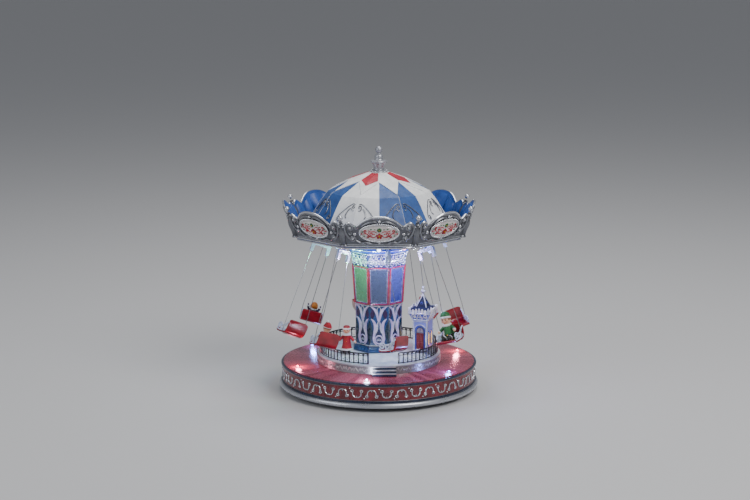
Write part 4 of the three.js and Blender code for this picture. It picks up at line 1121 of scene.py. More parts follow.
def column_ornament(surface):
    """One facet of the lower column: crossing horns above, horned legs below, and a ring at the foot."""
    made = Shape()
    for s in (-1, 1):
        horn = sided([(9.6, 99.2), (7.2, 97.4), (4.2, 94.4), (2.3, 90.2), (1.2, 85.4), (0.5, 81.4)], s)
        made.put("lilac", leaf(surface, horn, (0.25, 1.1, 1.5, 1.5, 1.2, 0.6)))
        petal = sided([(1.2, 97.6), (2.3, 94.4), (1.6, 90.6), (0.6, 87.4)], s)
        made.put("pearl", leaf(surface, petal, (0.2, 0.9, 1.0, 0.3), 0.6))
        leg = sided([(8.8, 84.6), (6.6, 82.4), (4.6, 78.6), (4.0, 73.4), (4.9, 67.4), (5.8, 61.6),
                     (4.8, 57.2), (2.6, 54.6)], s)
        made.put("lilac", leaf(surface, leg, (0.2, 1.1, 1.7, 1.8, 1.6, 1.3, 1.0, 0.5)))
        inner = sided([(0.5, 81.6), (1.7, 77.4), (2.1, 72.6), (3.0, 68.2)], s)
        made.put("pearl", leaf(surface, inner, (0.5, 1.1, 1.2, 0.5), 0.7))
        made.put("pearl", lay([curl(s * 1.5, 60.4, 1.5, 1.1, 90, s)], lambda x, y: surface(x, y, 0.35), 0.42))
    ring = [surface(4.0 * math.cos(a), 60.6 + 4.6 * math.sin(a), 0.35) for a in angles(28)]
    return made.put("lilac", strand(ring, 0.8, 8, closed=True))


def almond(x, middle, half_height, half_width):
    """A pointed oval as (x, y) pairs."""
    count = 12
    right = [(x + half_width * math.sin(math.pi * i / count) ** 1.2,
              middle - half_height + 2 * half_height * i / count) for i in range(count + 1)]
    left = [(2 * x - px, y) for px, y in right[::-1]]
    return right + left[1:-1]


def plate_on(surface, outline, rise, height):
    """A thin plate on a surface, following an outline of (x, y) pairs."""
    base = [surface(x, y, rise) for x, y in outline]
    cx = sum(x for x, y in outline) / len(outline)
    cy = sum(y for x, y in outline) / len(outline)
    top = [surface(cx + (x - cx) * 0.82, cy + (y - cy) * 0.9, rise + height) for x, y in outline]
    return skin([base, top])


def make_column():
    plinth = prism([(28.5, 46.35), (28.5, 48.0), (28.0, 48.6), (27.3, 48.9), (27.3, 50.4), (27.0, 50.9),
                    (27.0, 52.5)])
    piece("plinth", plinth, "teal", "root", "blue_paint", ["column_plinth"], angle=20)
    shaft = prism([(25.0, 52.85), (25.1, 100.0)])
    piece("column_core", shaft, "teal", "root", "blue_paint", ["column_lower"], angle=20)
    drops, relief = Shape(), Shape()
    for i in range(SIDES):
        surface = on_facet(i, lambda z: lower_apothem(z) - 0.75)
        relief.join(column_ornament(surface))
        relief.join(ellipsoid(surface(0, 98.4, 0.4), (1.3, 1.3, 1.3), 10, 6))
        keyhole = almond(0, 65.4, 9.4, 3.3)
        drops.put("teal_deep", plate_on(surface, keyhole, 0, 0.45))
        for s in (-1, 1):
            corner = [(max(min(x, 10.4), -10.4), y) for x, y in almond(s * 10.4, 68.5, 14.6, 3.6)]
            drops.put("column_dark", plate_on(surface, corner, 0, 0.6))
            drops.put("plum", plate_on(surface, almond(s * 7.2, 89.6, 5.8, 2.6), 0, 0.5))
    piece("column_drops", drops, "teal_deep", "root", "blue_paint")
    piece("column_scrolls", relief, "pearl", "root", "lavender")
    for name, z in (("column_foot_bead", 53.6), ("column_head_bead", 99.3)):
        path = stepped(octagon(lower_apothem(z) - 0.35, z), 5)
        piece(name, strand(path, 0.6, 6, closed=True), "pearl", "root", "lavender")
    make_mirrors()
    make_lace()
    make_cap()


def frame_line(inset, low_z, high_z):
    """Points (x, y) round one mirror on its facet, inset from its side edges."""
    corners = []
    for side, z in ((-1, low_z), (1, low_z), (1, high_z), (-1, high_z)):
        corners.append(Vector((side * (half_side(sleeve_apothem(z)) - inset), z)))
    return stepped(corners, 6)


def make_mirrors():
    sleeve = prism([(sleeve_apothem(z), z) for z in (MIRROR_BOTTOM, MIRROR_TOP)])
    for f, face in enumerate(sleeve.faces):
        center = sum((sleeve.points[k] for k in face), Vector()) / len(face)
        # Panels left of the front one get a painted green reflection and panels right of it a painted violet
        # one, for the lamps' coloured light.
        if abs(center.x) > 5 and center.y < 12:
            sleeve.paints[f] = "mirror_painted_violet_reflection" if center.x > 0 else "mirror_painted_green_reflection"
    piece("mirror_panels", sleeve, "mirror", "root", "mirror", ["mirror_sleeve"], angle=20)
    frames, lines = Shape(), Shape()
    for i in range(SIDES):
        surface = on_facet(i, sleeve_apothem)
        outer = [surface(x, y, 0.75) for x, y in frame_line(0.75, 101.2, 142.9)]
        frames.put("frame_red", strand(outer, 0.6, 8, closed=True))
        inner = [surface(x, y, 0.6) for x, y in frame_line(1.45, 101.9, 142.2)]
        frames.put("frame_violet", strand(inner, 0.26, 6, closed=True))
        line = [surface(x, y, 0.3) for x, y in frame_line(2.3, 102.8, 141.3)]
        lines.join(strand(line, 0.22, 6, closed=True))
    piece("mirror_frames", frames, "frame_red", "root", "frame_red", ["mirror_frame"])
    piece("mirror_lines", lines, "pearl", "root", "silver_paint")


def make_lace():
    core = prism([(28.6, 144.35), (29.2, 152), (31.6, 159.4)])
    piece("lace_core", core, "lace_blue", "root", "blue_paint", ["lace_frieze"], angle=20)
    made = Shape()
    for i in range(SIDES):
        surface = on_facet(i, lambda z: lace_apothem(z) - 0.55)
        half = 11.6
        count = 4
        pitch = 2 * half / count
        strokes = []
        for k in range(count):
            x = -half + pitch * (k + 0.5)
            strokes.append([(x - pitch / 2, 150.4), (x - pitch * 0.34, 146.6), (x, 145.0),
                            (x + pitch * 0.34, 146.6), (x + pitch / 2, 150.4)])
            strokes.append(curl(x, 148.6, 1.75, 1.2, 90, 1 if k % 2 else -1))
            strokes.append([(x - pitch / 2, 151.0), (x - pitch * 0.2, 154.0), (x, 157.6),
                            (x + pitch * 0.2, 154.0), (x + pitch / 2, 151.0)])
            strokes.append(curl(x, 153.0, 1.5, 1.0, 270, 1 if k % 2 else -1))
            made.join(ball(surface(x, 145.2, 0.3), 0.62, 8))
            made.join(ball(surface(x + pitch / 2, 156.4, 0.3), 0.75, 8))
        made.join(lay(strokes, lambda x, y, s=surface: s(x, y, 0.3), 0.34, sides=6, taper=0.2, steps=2))
        for z in (150.7, 159.0):
            w = half_side(lace_apothem(z) - 0.5)
            made.join(strand([surface(-w, z, 0.2), surface(0, z, 0.2), surface(w, z, 0.2)], 0.5, 6))
    piece("lace", made, "pearl", "root", "lavender")


LAMP_TINTS = ("white_lamp", "pink_lamp", "red_lamp", "blue_lamp", "white_lamp", "green_lamp",
              "amber_lamp", "white_lamp")


def make_cap():
    cap = lathe([(AXIS, 159.85), (34, 159.85), (34.6, 160.2), (37.4, 162.6), (38, 163.4), (38, 174.2),
                 (37.6, 175.2), (36.4, CAP_TOP), (AXIS, CAP_TOP)], 128)
    piece("cap", cap, "cap_blue", "root", "blue_paint", ["column_cap"])
    beads = Shape()
    for z in (163.6, 174.4):
        path = circle(38.1, z, 96)
        beads.join(strand(path, 0.45, 6, closed=True))
    piece("cap_beads", beads, "pearl", "root", "lavender")
    for i, tint in enumerate(LAMP_TINTS):
        lens = ellipsoid((0, 0, 0), (1.9, 2.6, 1.9), 20, 12).moved(turn(FACET * i) @ shift(0, -39.8, 165.5))
        piece(f"column_lamp_{i + 1}", lens, tint, "root", "lamp", ["column_lamps"] if i == 0 else [])
        collar = lathe([(1.9, -0.6), (2.7, -0.6), (2.7, 0.5), (2.3, 0.9), (1.9, 0.6)], 24)
        collar = collar.moved(turn(FACET * i) @ shift(0, -38.9, 165.5) @ turn(90, "X"))
        piece(f"column_lamp_collar_{i + 1}", collar, "steel", "root", "silver_paint")


# ---- Canopy: underside, crown and roof -----------------------------------------------------------
def make_canopy_floor():
    apothem = 89.3
    plate = prism([(0.01, CANOPY_FLOOR - 2), (apothem - 0.4, CANOPY_FLOOR - 2),
                   (apothem, CANOPY_FLOOR - 1.6), (apothem, CANOPY_FLOOR), (0.01, CANOPY_FLOOR)])
    piece("canopy_underside", plate, "blue", "carousel", "blue_paint", ["canopy_floor"], angle=20)
    made = Shape()
    for i in range(SIDES):
        azimuth = HALF_FACET + FACET * i
        path = [polar(azimuth, r, CANOPY_FLOOR - 2.1) for r in (12, 30, 55, 80, 94.5)]
        made.put("silver", strand(path, 0.9, 8))
        star = [polar(FACET * i, r, CANOPY_FLOOR - 2.05) for r in (12, 26, 40)]
        made.put("silver", strand(star, 0.6, 6, taper=0.5))
    for radius in (11.5, 42, 57):
        ring = circle(radius, CANOPY_FLOOR - 2.1, 96)
        made.put("silver", strand(ring, 0.6, 6, closed=True))
    rim = stepped(octagon(apothem, CANOPY_FLOOR - 1.3), 8)
    made.put("bright", strand(rim, 1.1, 8, closed=True))
    hub = lathe([(3.6, 176.9), (8, 176.9), (9.0, 177.6), (9.0, 178.6), (3.6, 178.6)], 48)
    made.put("silver", hub)
    piece("canopy_ribs", made, "silver", "carousel", "silver_paint")
    make_brackets()


def make_brackets():
    """Two ears and a stop bar for each fork's trunnion."""
    made = Shape()
    ear = [(-4.5, 178.7), (3.1, 178.7), (3.1, 174.2), (2.2, 172.3), (0.4, 171.5), (-1.1, 171.9),
           (-2.6, 171.2), (-3.8, 169.3), (-4.5, 169.3)]
    for letter in SWINGS:
        bracket = Shape()
        for low_y in (-4.8, 3.0):
            bracket.join(panel(ear, low_y, low_y + 1.8, 0.2))
            bracket.join(lathe(rectangle(1.4, -0.4, 2.3, 0.3), 20)
                         .moved(shift(0, low_y if low_y < 0 else low_y + 1.8, PIVOT_HEIGHT) @ turn(90, "X")))
        bracket.join(block((-4.4, -3.2, 169.2), (-0.6, 3.2, 170.9), 0.3))
        bracket.join(lathe([(4.6, 178.2), (5.6, 178.2), (5.9, 178.5), (4.6, 178.6)], 32))
        made.join(bracket.moved(turn(swing_azimuth(letter) - 90) @ shift(PIVOT_RADIUS, 0, 0)))
    piece("swing_brackets", made, "navy", "carousel", "blue_paint")


RIM = [(0, 213.8), (4, 213.6), (8, 212.8), (11.5, 211.3), (15, 209.2), (18, 206.8), (20.4, 204.6),
       (22, 203.2), (23.6, 202.6), (25.4, 203.9), (27.6, 206.2), (29.8, 206.9), (31.8, 206.0),
       (33.6, 204.0), (35.6, 201.9), (38, 200.8)]


def rim_height(x):
    x = abs(x)
    for (x0, z0), (x1, z1) in zip(RIM, RIM[1:]):
        if x <= x1:
            return z0 + (z1 - z0) * (x - x0) / (x1 - x0)
    return RIM[-1][1]


def crown_point(x, z, rise):
    """A point of the crown's front panel: x across its foot, z its height, rise outwards."""
    share = min(abs(x) / CROWN_HALF, 1)
    lean = 0.46 + (0.31 - 0.46) * share * share
    out = CROWN_APOTHEM + lean * (z - CROWN_BOTTOM)
    return Vector((x * out / CROWN_APOTHEM, -(out + rise), z - rise * lean * 0.8))


def on_crown(index, rise=0.0):
    def place(x, z, extra=0.0):
        return turn(index * FACET) @ crown_point(x, z, rise + extra)
    return place


def across_panel(count):
    """Places across the foot of a crown panel, in the middles of so many equal parts."""
    return [-CROWN_HALF + 2 * CROWN_HALF * (k + 0.5) / count for k in range(count)]


def crown_wall():
    """The crown's eight panels as one wall, silver outside and blue inside."""
    stations, levels, depth = 44, 12, 1.7
    rows = []
    for i in range(SIDES):
        surface = on_crown(i)
        for x in across_panel(stations):
            top = rim_height(x)
            heights = [CROWN_BOTTOM + (top - CROWN_BOTTOM) * t / levels for t in range(levels + 1)]
            outer = [surface(x, z) for z in heights]
            inner = [surface(x, z, -depth) for z in heights[::-1]]
            rows.append(outer + inner)
    made = skin(rows, closed=True)
    width = len(rows[0])
    for f in range(len(made.faces)):
        j = f % width
        made.paints[f] = "silver" if j < levels + 1 or j == width - 1 else "blue"
    return made


def inner_folds():
    """Rounded folds on the blue inner side: three lobes behind each petal and one behind each side lobe."""
    made = Shape()
    for i in range(SIDES):
        surface = on_crown(i, -1.75)
        for x, width, depth in ((0, 8.6, 4.2), (-14.6, 6.6, 3.4), (14.6, 6.6, 3.4), (-30.4, 5.2, 2.8),
                                (30.4, 5.2, 2.8)):
            rows = []
            for t in range(9):
                share = t / 8
                half = width * (0.3 + 0.7 * math.sin(math.pi * min(share * 0.62 + 0.1, 1)))

                def at(u, bulge, share=share, half=half):
                    px = x + u * half
                    top = rim_height(px) - 3.4
                    return surface(px, 185 + (top - 185) * share, -bulge)
                stations = [-1 + s / 6 for s in range(13)]
                arch = depth * (0.3 + 0.7 * math.sin(math.pi * (0.25 + share * 0.6)))
                front = [at(u, arch * (1 - u * u)) for u in stations]
                rows.append(front + [at(-u, -0.4) for u in stations])
            made.join(skin(rows))
    return made


def crown_scrolls():
    """The silver scrollwork of one panel, as broad and thin strokes of (x, z)."""
    broad = [curl(28.8, 201.6, 3.4, 1.3, 60, 1),
             [(32.3, 206.2), (34.4, 201.6), (33.6, 195.4), (30.8, 190), (26.6, 186)],
             curl(27.0, 189.4, 3.2, 1.1, 270, -1),
             [(2, 183.4), (8, 183.0), (14, 185.0), (19.4, 184.4), (24.0, 187.4)],
             [(1.6, 207.4), (5.2, 209.2), (9.6, 208.2), (14.0, 205.9), (17.6, 203.0)]]
    thin = [curl(29.6, 195.4, 2.2, 1.1, 60, 1), curl(13.0, 183.4, 1.7, 1.0, 0, -1),
            curl(23.0, 201.6, 2.0, 1.1, 60, 1)]
    return both_sides(broad), both_sides(thin)


MEDAL_X, MEDAL_Z, MEDAL_CENTER = 19.0, 9.4, 195.9


def medallion(surface):
    """The oval plate, domed, and its roped edge."""
    def oval(count, share, grow, rise):
        """Points round the plate's oval, scaled by a share and grown by so many millimetres."""
        half_x, half_z = MEDAL_X * share + grow, MEDAL_Z * share + grow
        return [surface(half_x * math.cos(a), MEDAL_CENTER + half_z * math.sin(a), rise)
                for a in angles(count)]

    levels = ((1.0, 0.1), (1.0, 0.9), (0.93, 1.25), (0.6, 1.6), (0.25, 1.75), (0.002, 1.8))
    plate = skin([oval(56, share, 0, rise) for share, rise in levels], caps=False).painted("medallion")
    rope = Shape()
    for point in oval(72, 1, 0.7, 1.0):
        rope.join(ball(point, 0.95, 8))
    rope.join(strand(oval(64, 1, -1.2, 1.25), 0.25, 6, closed=True))
    return plate, rope


def dome(surface, x, z, radius, color, rise=1.7):
    return ellipsoid(surface(x, z, rise), (radius, radius * 0.8, radius), 10, 6).painted(color)


def flower(surface, x, z, size, color, petals=5):
    made = Shape()
    for k in range(petals):
        a = 2 * math.pi * k / petals + 0.3
        made.join(dome(surface, x + size * math.cos(a), z + size * math.sin(a), size * 0.62, color))
    return made.join(dome(surface, x, z, size * 0.5, "gold", 2.1))


def medallion_flowers(surface):
    """Painted relief on the plate: a green bloom over a red one, with red scrolls and leaves to each side."""
    mid = MEDAL_CENTER
    made = flower(surface, 0, mid + 4.0, 1.6, "leaf", 6)
    made.join(flower(surface, 0, mid - 3.0, 2.3, "petal_red"))
    for s in (-1, 1):
        vines = [sided([(2.2, mid - 2.4), (5.6, mid - 4.6), (9.4, mid - 3.4),
                        (12.8, mid - 0.2), (16.2, mid - 0.8)], s),
                 sided([(2.0, mid + 0.4), (4.8, mid + 2.4), (8.2, mid + 2.0), (11.0, mid + 3.6)], s),
                 sided(curl(7.6, mid - 0.8, 2.1, 1.1, 250, 1), s),
                 sided(curl(13.6, mid + 2.6, 1.8, 1.0, 250, 1), s),
                 sided(curl(11.6, mid - 3.8, 1.5, 1.0, 90, 1), s)]
        made.put("petal_red", lay(vines, lambda x, z: surface(x, z, 1.55), 0.66, sides=6))
        for x, z in ((4.6, 4.6), (16.6, 1.8), (15.2, -3.0), (8.0, 4.8)):
            made.put("leaf", ellipsoid(surface(s * x, mid + z, 1.6), (1.1, 0.5, 0.7), 8, 5))
        for x, z in ((10.4, 0.8), (17.6, -0.4), (5.2, -0.6)):
            made.join(dome(surface, s * x, mid + z, 0.85, "petal_red"))
    return made


def pilaster():
    """The crown's corner post, a bottle shape standing at the origin."""
    profile = [(AXIS, 0), (4.0, 0), (4.2, 0.7), (3.9, 1.5), (3.1, 2.1), (3.0, 5.5), (3.1, 8), (3.7, 12),
               (3.9, 15), (3.5, 18), (2.5, 20.6), (1.7, 22.6), (1.6, 23.8), (2.5, 24.6), (2.6, 25.4),
               (1.8, 26.2), (1.7, 27.4), (2.3, 28.2), (AXIS, 28.6)]
    return lathe(profile, 28)


def make_crown():
    piece("crown_wall", crown_wall(), "silver", "carousel", "silver_paint", ["crown"], angle=28)
    piece("crown_folds", inner_folds(), "blue", "carousel", "blue_paint", angle=50)
    scrolls, plates, ropes, flowers, studs = (Shape() for i in range(5))
    outline = []
    for i in range(SIDES):
        surface = on_crown(i)
        outline += [surface(x, rim_height(x), -0.5) for x in across_panel(60)]
        broad, thin = crown_scrolls()
        scrolls.join(lay(broad, lambda x, z, s=surface: s(x, z, 0.4), 1.2, sides=8, taper=0.5))
        scrolls.join(lay(thin, lambda x, z, s=surface: s(x, z, 0.3), 0.8, sides=6, taper=0.45))
        plate, rope = medallion(surface)
        plates.join(plate)
        ropes.join(rope)
        flowers.join(medallion_flowers(surface))
        for x, z, r in ((0, 209.4, 1.8), (0, 184.6, 1.4), (-24.6, 194.6, 1.9), (24.6, 194.6, 1.9),
                        (-28.8, 201.6, 1.5), (28.8, 201.6, 1.5), (-27.0, 189.4, 1.3), (27.0, 189.4, 1.3)):
            studs.join(dome(surface, x, z, r, "bright", 0.7))
    piece("crown_rim", strand(outline, 1.05, 10, closed=True), "bright", "carousel", "silver_paint")
    piece("crown_scrolls", scrolls, "silver", "carousel", "silver_paint")
    piece("crown_medallions", plates, "medallion", "carousel", "silver_paint")
    piece("crown_ropes", ropes, "bright", "carousel", "silver_paint")
    piece("crown_flowers", flowers, "petal_red", "carousel", "frame_red")
    piece("crown_studs", studs, "bright", "carousel", "silver_paint")
    for name, z, radius in (("crown_foot_bead", CROWN_BOTTOM + 0.9, 0.85),
                            ("crown_foot_line", CROWN_BOTTOM + 2.9, 0.4)):
        path = [on_crown(i)(x, z) for i in range(SIDES) for x in across_panel(10)]
        piece(name, strand(path, radius, 8, closed=True), "bright", "carousel", "silver_paint")
    posts = Shape()
    for i in range(SIDES):
        foot, head = polar(HALF_FACET + FACET * i, 98.9, 181), polar(HALF_FACET + FACET * i, 109.2, 212)
        axis = (head - foot).normalized()
        frame_of = axis.to_track_quat("Z", "Y").to_matrix().to_4x4()
        posts.join(pilaster().moved(Matrix.Translation(foot) @ frame_of))
        posts.put("bright", ball(head, 2.9, 20))
    piece("crown_posts", posts, "silver", "carousel", "silver_paint")


def roof_height(corner_radius):
    for (r0, z0), (r1, z1) in zip(ROOF, ROOF[1:]):
        if corner_radius <= r1:
            return z0 + (z1 - z0) * (corner_radius - r0) / (r1 - r0)
    return ROOF[-1][1]


def on_roof(azimuth, radius, rise):
    """A point of the roof's flat gores, rise above them."""
    away = (azimuth % HALF_FACET) - HALF_FACET / 2
    corner_radius = radius * math.cos(math.radians(away)) / math.cos(math.radians(HALF_FACET / 2))
    slope = 0.42 if corner_radius < 56.5 else 1.5
    shift_out = rise * slope / math.hypot(1, slope)
    return polar(azimuth, radius + shift_out, roof_height(corner_radius) + rise / math.hypot(1, slope))


def sector_is_white(middle):
    """Sectors are 45 degrees wide and take turns: white just left of the front, blue just right of it."""
    return int(((middle + FACET) % 360) // FACET) % 2 == 0


def roof_shell():
    """Flat gores in sectors of white and blue, with a plain inner side."""
    thick = 1.3
    profile = ROOF + [(84, 181), (82.7, 181)] + [(max(r - thick, 8.4), z - thick * 0.6)
                                                 for r, z in ROOF[::-1]]
    made = skin([circle(radius, z, GORES) for radius, z in profile], closed=True)
    for f in range(len(made.faces)):
        middle = HALF_FACET * (f % GORES + 0.5)
        outside = f // GORES < len(ROOF)
        made.paints[f] = ("roof_white" if sector_is_white(middle) else "roof_blue") if outside else "blue"
    return made


def roof_plate(corners, rise, drop, color):
    """A raised plate on the roof: corners are (azimuth, radius) pairs round a fan from its first pair."""
    outline = stepped([polar(azimuth, radius, 0) for azimuth, radius in corners], 6)
    center = sum(outline, Vector()) / len(outline)

    def lifted(point, height):
        azimuth = math.degrees(math.atan2(point.x, -point.y))
        return on_roof(azimuth, math.hypot(point.x, point.y), height)
    rows = []
    for share, height in ((1.0, drop), (1.0, rise - 0.15), (0.985, rise), (0.66, rise), (0.33, rise),
                          (0.02, rise)):
        rows.append([lifted(center.lerp(p, share), height) for p in outline])
    return skin(rows, caps=False).painted(color)


def scroll_arch():
    """A broken pediment of two scrolls, as (azimuth offset, radius) strokes."""
    leg = [(18.4, 71.0), (16.2, 67.8), (12.6, 64.8), (8.4, 62.2), (4.8, 60.6), (2.0, 61.2)]
    sprig = [(6.4, 63.6), (8.8, 65.4), (10.0, 68.2), (8.6, 69.8)]
    return both_sides([leg, curl(3.2, 63.4, 2.2, 1.1, 110, -1), curl(16.0, 71.4, 2.0, 1.1, 20, -1), sprig])


def make_roof():
    piece("roof_shell", roof_shell(), "roof_blue", "carousel", "blue_paint", ["roof_dome"], angle=8)
    star, kites, arches = Shape(), Shape(), Shape()
    for i in range(SIDES):
        left, right, middle = FACET * i, FACET * (i + 1), FACET * (i + 0.5)
        white = sector_is_white(middle)
        for a0, a1 in ((left, middle), (middle, right)):
            edge = left if a0 == left else right
            wing = [(a0 + 0.01, 9.6), (a1 - 0.01, 9.6)]
            tips = [(middle, 52), (edge, 30)] if edge == left else [(edge, 30), (middle, 52)]
            star.join(roof_plate(wing + tips, 0.9, 0.05, "roof_white"))
        if white:
            for a0, a1, edge in ((left, middle, left + 2.2), (middle, right, right - 2.2)):
                wing = [(a0 + (2.2 if a0 == left else 0), 11), (a1 - (2.2 if a1 == right else 0), 11)]
                tips = [(middle, 37.5), (edge, 28)] if edge < middle else [(edge, 28), (middle, 37.5)]
                kites.join(roof_plate(wing + tips, 1.25, 0.8, "roof_red"))
        for stroke in scroll_arch():
            path = smooth([(middle + a, r) for a, r in stroke], 3)
            arches.join(strand([on_roof(p.x, p.y, 0.35) for p in path], 0.6, 8, taper=0.4))
    piece("roof_star", star, "roof_white", "carousel", "blue_paint", angle=8)
    piece("roof_kites", kites, "roof_red", "carousel", "frame_red", angle=8)
    piece("roof_arches", arches, "silver", "carousel", "silver_paint")
    seams = Shape()
    for j in range(GORES):
        radii = ((53,) if j % 2 else (31, 44)) + (56.4, 60, 64, 69, 73.4, 79, 83.6)
        path = [on_roof(HALF_FACET * j, r, 0.05) for r in radii]
        seams.join(strand(path, 0.16, 5))
    piece("roof_seams", seams, "roof_white", "carousel", "blue_paint")
    make_finial()


def make_finial():
    profile = [(AXIS, 246.7), (9, 246.7), (9.3, 247.3), (8.9, 248.3), (7.2, 249.1), (6.0, 249.8),
               (5.7, 250.6), (5.9, 252), (6.6, 254.4), (7.4, 256.6), (8.4, 257.7), (9.1, 258.1),
               (9.3, 258.9), (8.9, 259.6), (7.2, 259.9), (5.4, 260.3), (4.6, 261.2), (4.3, 262.3),
               (4.6, 263.4), (4.8, 264.6), (4.2, 265.9), (3.2, 267), (2.0, 267.8), (1.8, 268.2),
               (2.6, 268.9), (3.4, 269.8), (3.85, 271.2), (3.8, 272.6), (3.1, 274.1), (1.9, 275.2),
               (AXIS, 275.7)]
    piece("finial_turning", lathe(profile, 64), "pewter", "carousel", "silver_paint", ["finial"])
    beads = Shape()
    for point in circle(8.9, 248, 14):
        beads.join(ball(point, 1.15, 10))
    piece("finial_beads", beads, "bright", "carousel", "silver_paint")


# ---- Swings --------------------------------------------------------------------------------------
def rest_matrix(letter):
    """From straight below the fork to the way the chair hangs at rest, in mm."""
    lean, sway, twist = REST[letter]
    return (shift(0, 0, -KNEE) @ turn(LEAN - lean, "Y") @ turn(sway, "X") @ turn(twist, "Z")
            @ shift(0, 0, KNEE))


def swing_place(letter, hung=False):
    """Where a fork (or the chair hung under it) stands at rest: its pivot at the origin, +X outwards."""
    matrix = turn(swing_azimuth(letter) - 90) @ shift(PIVOT_RADIUS, 0, PIVOT_HEIGHT) @ turn(-LEAN, "Y")
    if hung:
        matrix = matrix @ rest_matrix(letter)
    matrix.translation *= MM
    return matrix


def fork_shape():
    """A flat U on a round neck, with the trunnion barrel and its pin on top."""
    made = Shape()
    barrel = lathe([(1.3, -2.4), (2.0, -2.4), (2.25, -2.0), (2.25, 2.0), (2.0, 2.4), (1.3, 2.4)], 24)
    made.join(barrel.moved(turn(90, "X")))
    made.join(strand([(0, -4.5, 0), (0, 4.5, 0)], 1.15, 16))
    made.join(strand([(0, 0, -1.6), (0, 0, -8.6)], 1.45, 12))
    right = [(5.8, -11.6), (7.0, -12.0), (7.4, -13.2), (7.4, -19.4), (8.0, -20.0), (10.4, -20.0),
             (11.0, -19.4), (11.0, -10.0), (10.4, -8.6), (9.0, -8.0)]
    made.join(panel(right + mirrored(right)[::-1], -1.5, 1.5, 0.35))
    made.join(lathe([(1.5, -7.9), (2.6, -7.9), (2.6, -7.2), (1.5, -6.4)], 20))
    return made


def wire_shape(letter):
    """The two wires from the fork's legs to the chair's sides, joined under the seat."""
    rest = rest_matrix(letter)
    half = [(-WIRE_SPAN, -98), (-WIRE_SPAN, -114.5), (-12.1, -116.3), (-10.5, -116.5), (0, -116.5)]
    loop = half + mirrored(half)[::-1][1:]
    path = [rest @ Vector((x, WIRE_BACK, z)) for x, z in loop]
    return strand([(-9.2, 0, -KNEE), *path, (9.2, 0, -KNEE)], 0.34, 6)


def seat_shell():
    """A bucket in side view: front lip, flat seat, and a wide back with rounded corners."""
    line = [(-12.0, -112.4), (-11.3, -113.9), (-10.0, -114.9), (-7, -115.1), (-2, -115.1), (3.6, -115.0),
            (6.8, -114.1), (8.8, -112.4), (10.0, -109.4), (10.6, -106), (11.1, -102.6), (11.6, -100.2),
            (11.8, -99.5)]
    path = smooth([Vector((0, y, z)) for y, z in line], 3)
    rows = []
    count = len(path)
    for i, point in enumerate(path):
        along = (path[min(i + 1, count - 1)] - path[max(i - 1, 0)]).normalized()
        normal = Vector((0, -along.z, along.y))
        share = i / (count - 1)
        half = 11.95
        if share > 0.8:
            half *= math.sqrt(max(1 - ((share - 0.8) / 0.21) ** 2.6, 0.02))
        if share < 0.08:
            half *= 0.93 + 0.07 * share / 0.08
        thick = 0.95 if 0 < i < count - 1 else 0.45
        row = []
        for k in range(17):
            u = -1 + 2 * k / 16
            dish = 0.7 * u * u if 0.1 < share < 0.95 else 0
            row.append(point + Vector((half * u, 0, 0)) + normal * (thick + dish))
        for k in range(17):
            u = 1 - 2 * k / 16
            row.append(point + Vector((half * u, 0, 0)) - normal * thick)
        rows.append(row)
    return skin(rows)


def arm_strokes():
    """A white arm in side view: a spiral in front, a slanting rail and a triangle of bars behind."""
    spiral = [(-7.4 + x * 1.1, -109.3 + z) for x, z in curl(0, 0, 3.7, 1.35, 20, 1)]
    top = [(-3.9, -108.2), (-0.6, -108.0), (3.2, -107.0), (6.8, -104.4), (10.6, -102.6)]
    low_rail = [(-11.0, -111.4), (-10.6, -113.2), (-7, -113.9), (0, -113.7), (6.6, -112.8)]
    post = [(-3.4, -109), (-2.8, -111.4), (-3.8, -113.7)]
    brace = [(-2.4, -113.0), (1.4, -110.4), (5.4, -106.2)]
    back = [(2.2, -107.8), (3.8, -110.6), (7.2, -111.9)]
    small = curl(2.8, -111.9, 1.2, 1.0, 90, 1)
    return [spiral, top, low_rail, post, brace, back, small]


def arms_shape():
    made = Shape()
    for s in (-1, 1):
        made.join(lay(arm_strokes(), lambda y, z, s=s: Vector((s * 11.75, y, z)), 0.8, sides=8, taper=0.1))
    return made


SEAT_TOP = -113.7
HATS = {"b": "hood", "c": "hat", "e": "cap", "g": "hat"}
COATS = {"b": "plum", "c": "coat", "e": "green", "g": "coat"}
HAIRS = {"b": "ginger", "c": "hair", "e": "hair", "g": "ginger"}
FIGURE_SCALE = {"b": 0.87, "c": 0.93, "e": 1.18, "g": 0.95}
# Bends of an arm, its cuff and its hand: on the lap, or raised to hold the wires.
ARMS_DOWN = [(3.2, 0.4, 12.8), (6.2, -0.4, 10.8), (8.0, -2.3, 9.6)], (8.1, -2.5, 9.5), (8.5, -3.7, 9.2)
ARMS_UP = [(3.2, 0.6, 12.8), (6.4, 1.6, 13.4), (7.8, 2.6, 17.6)], (8.0, 2.8, 18.4), (8.2, 3.2, 20.2)


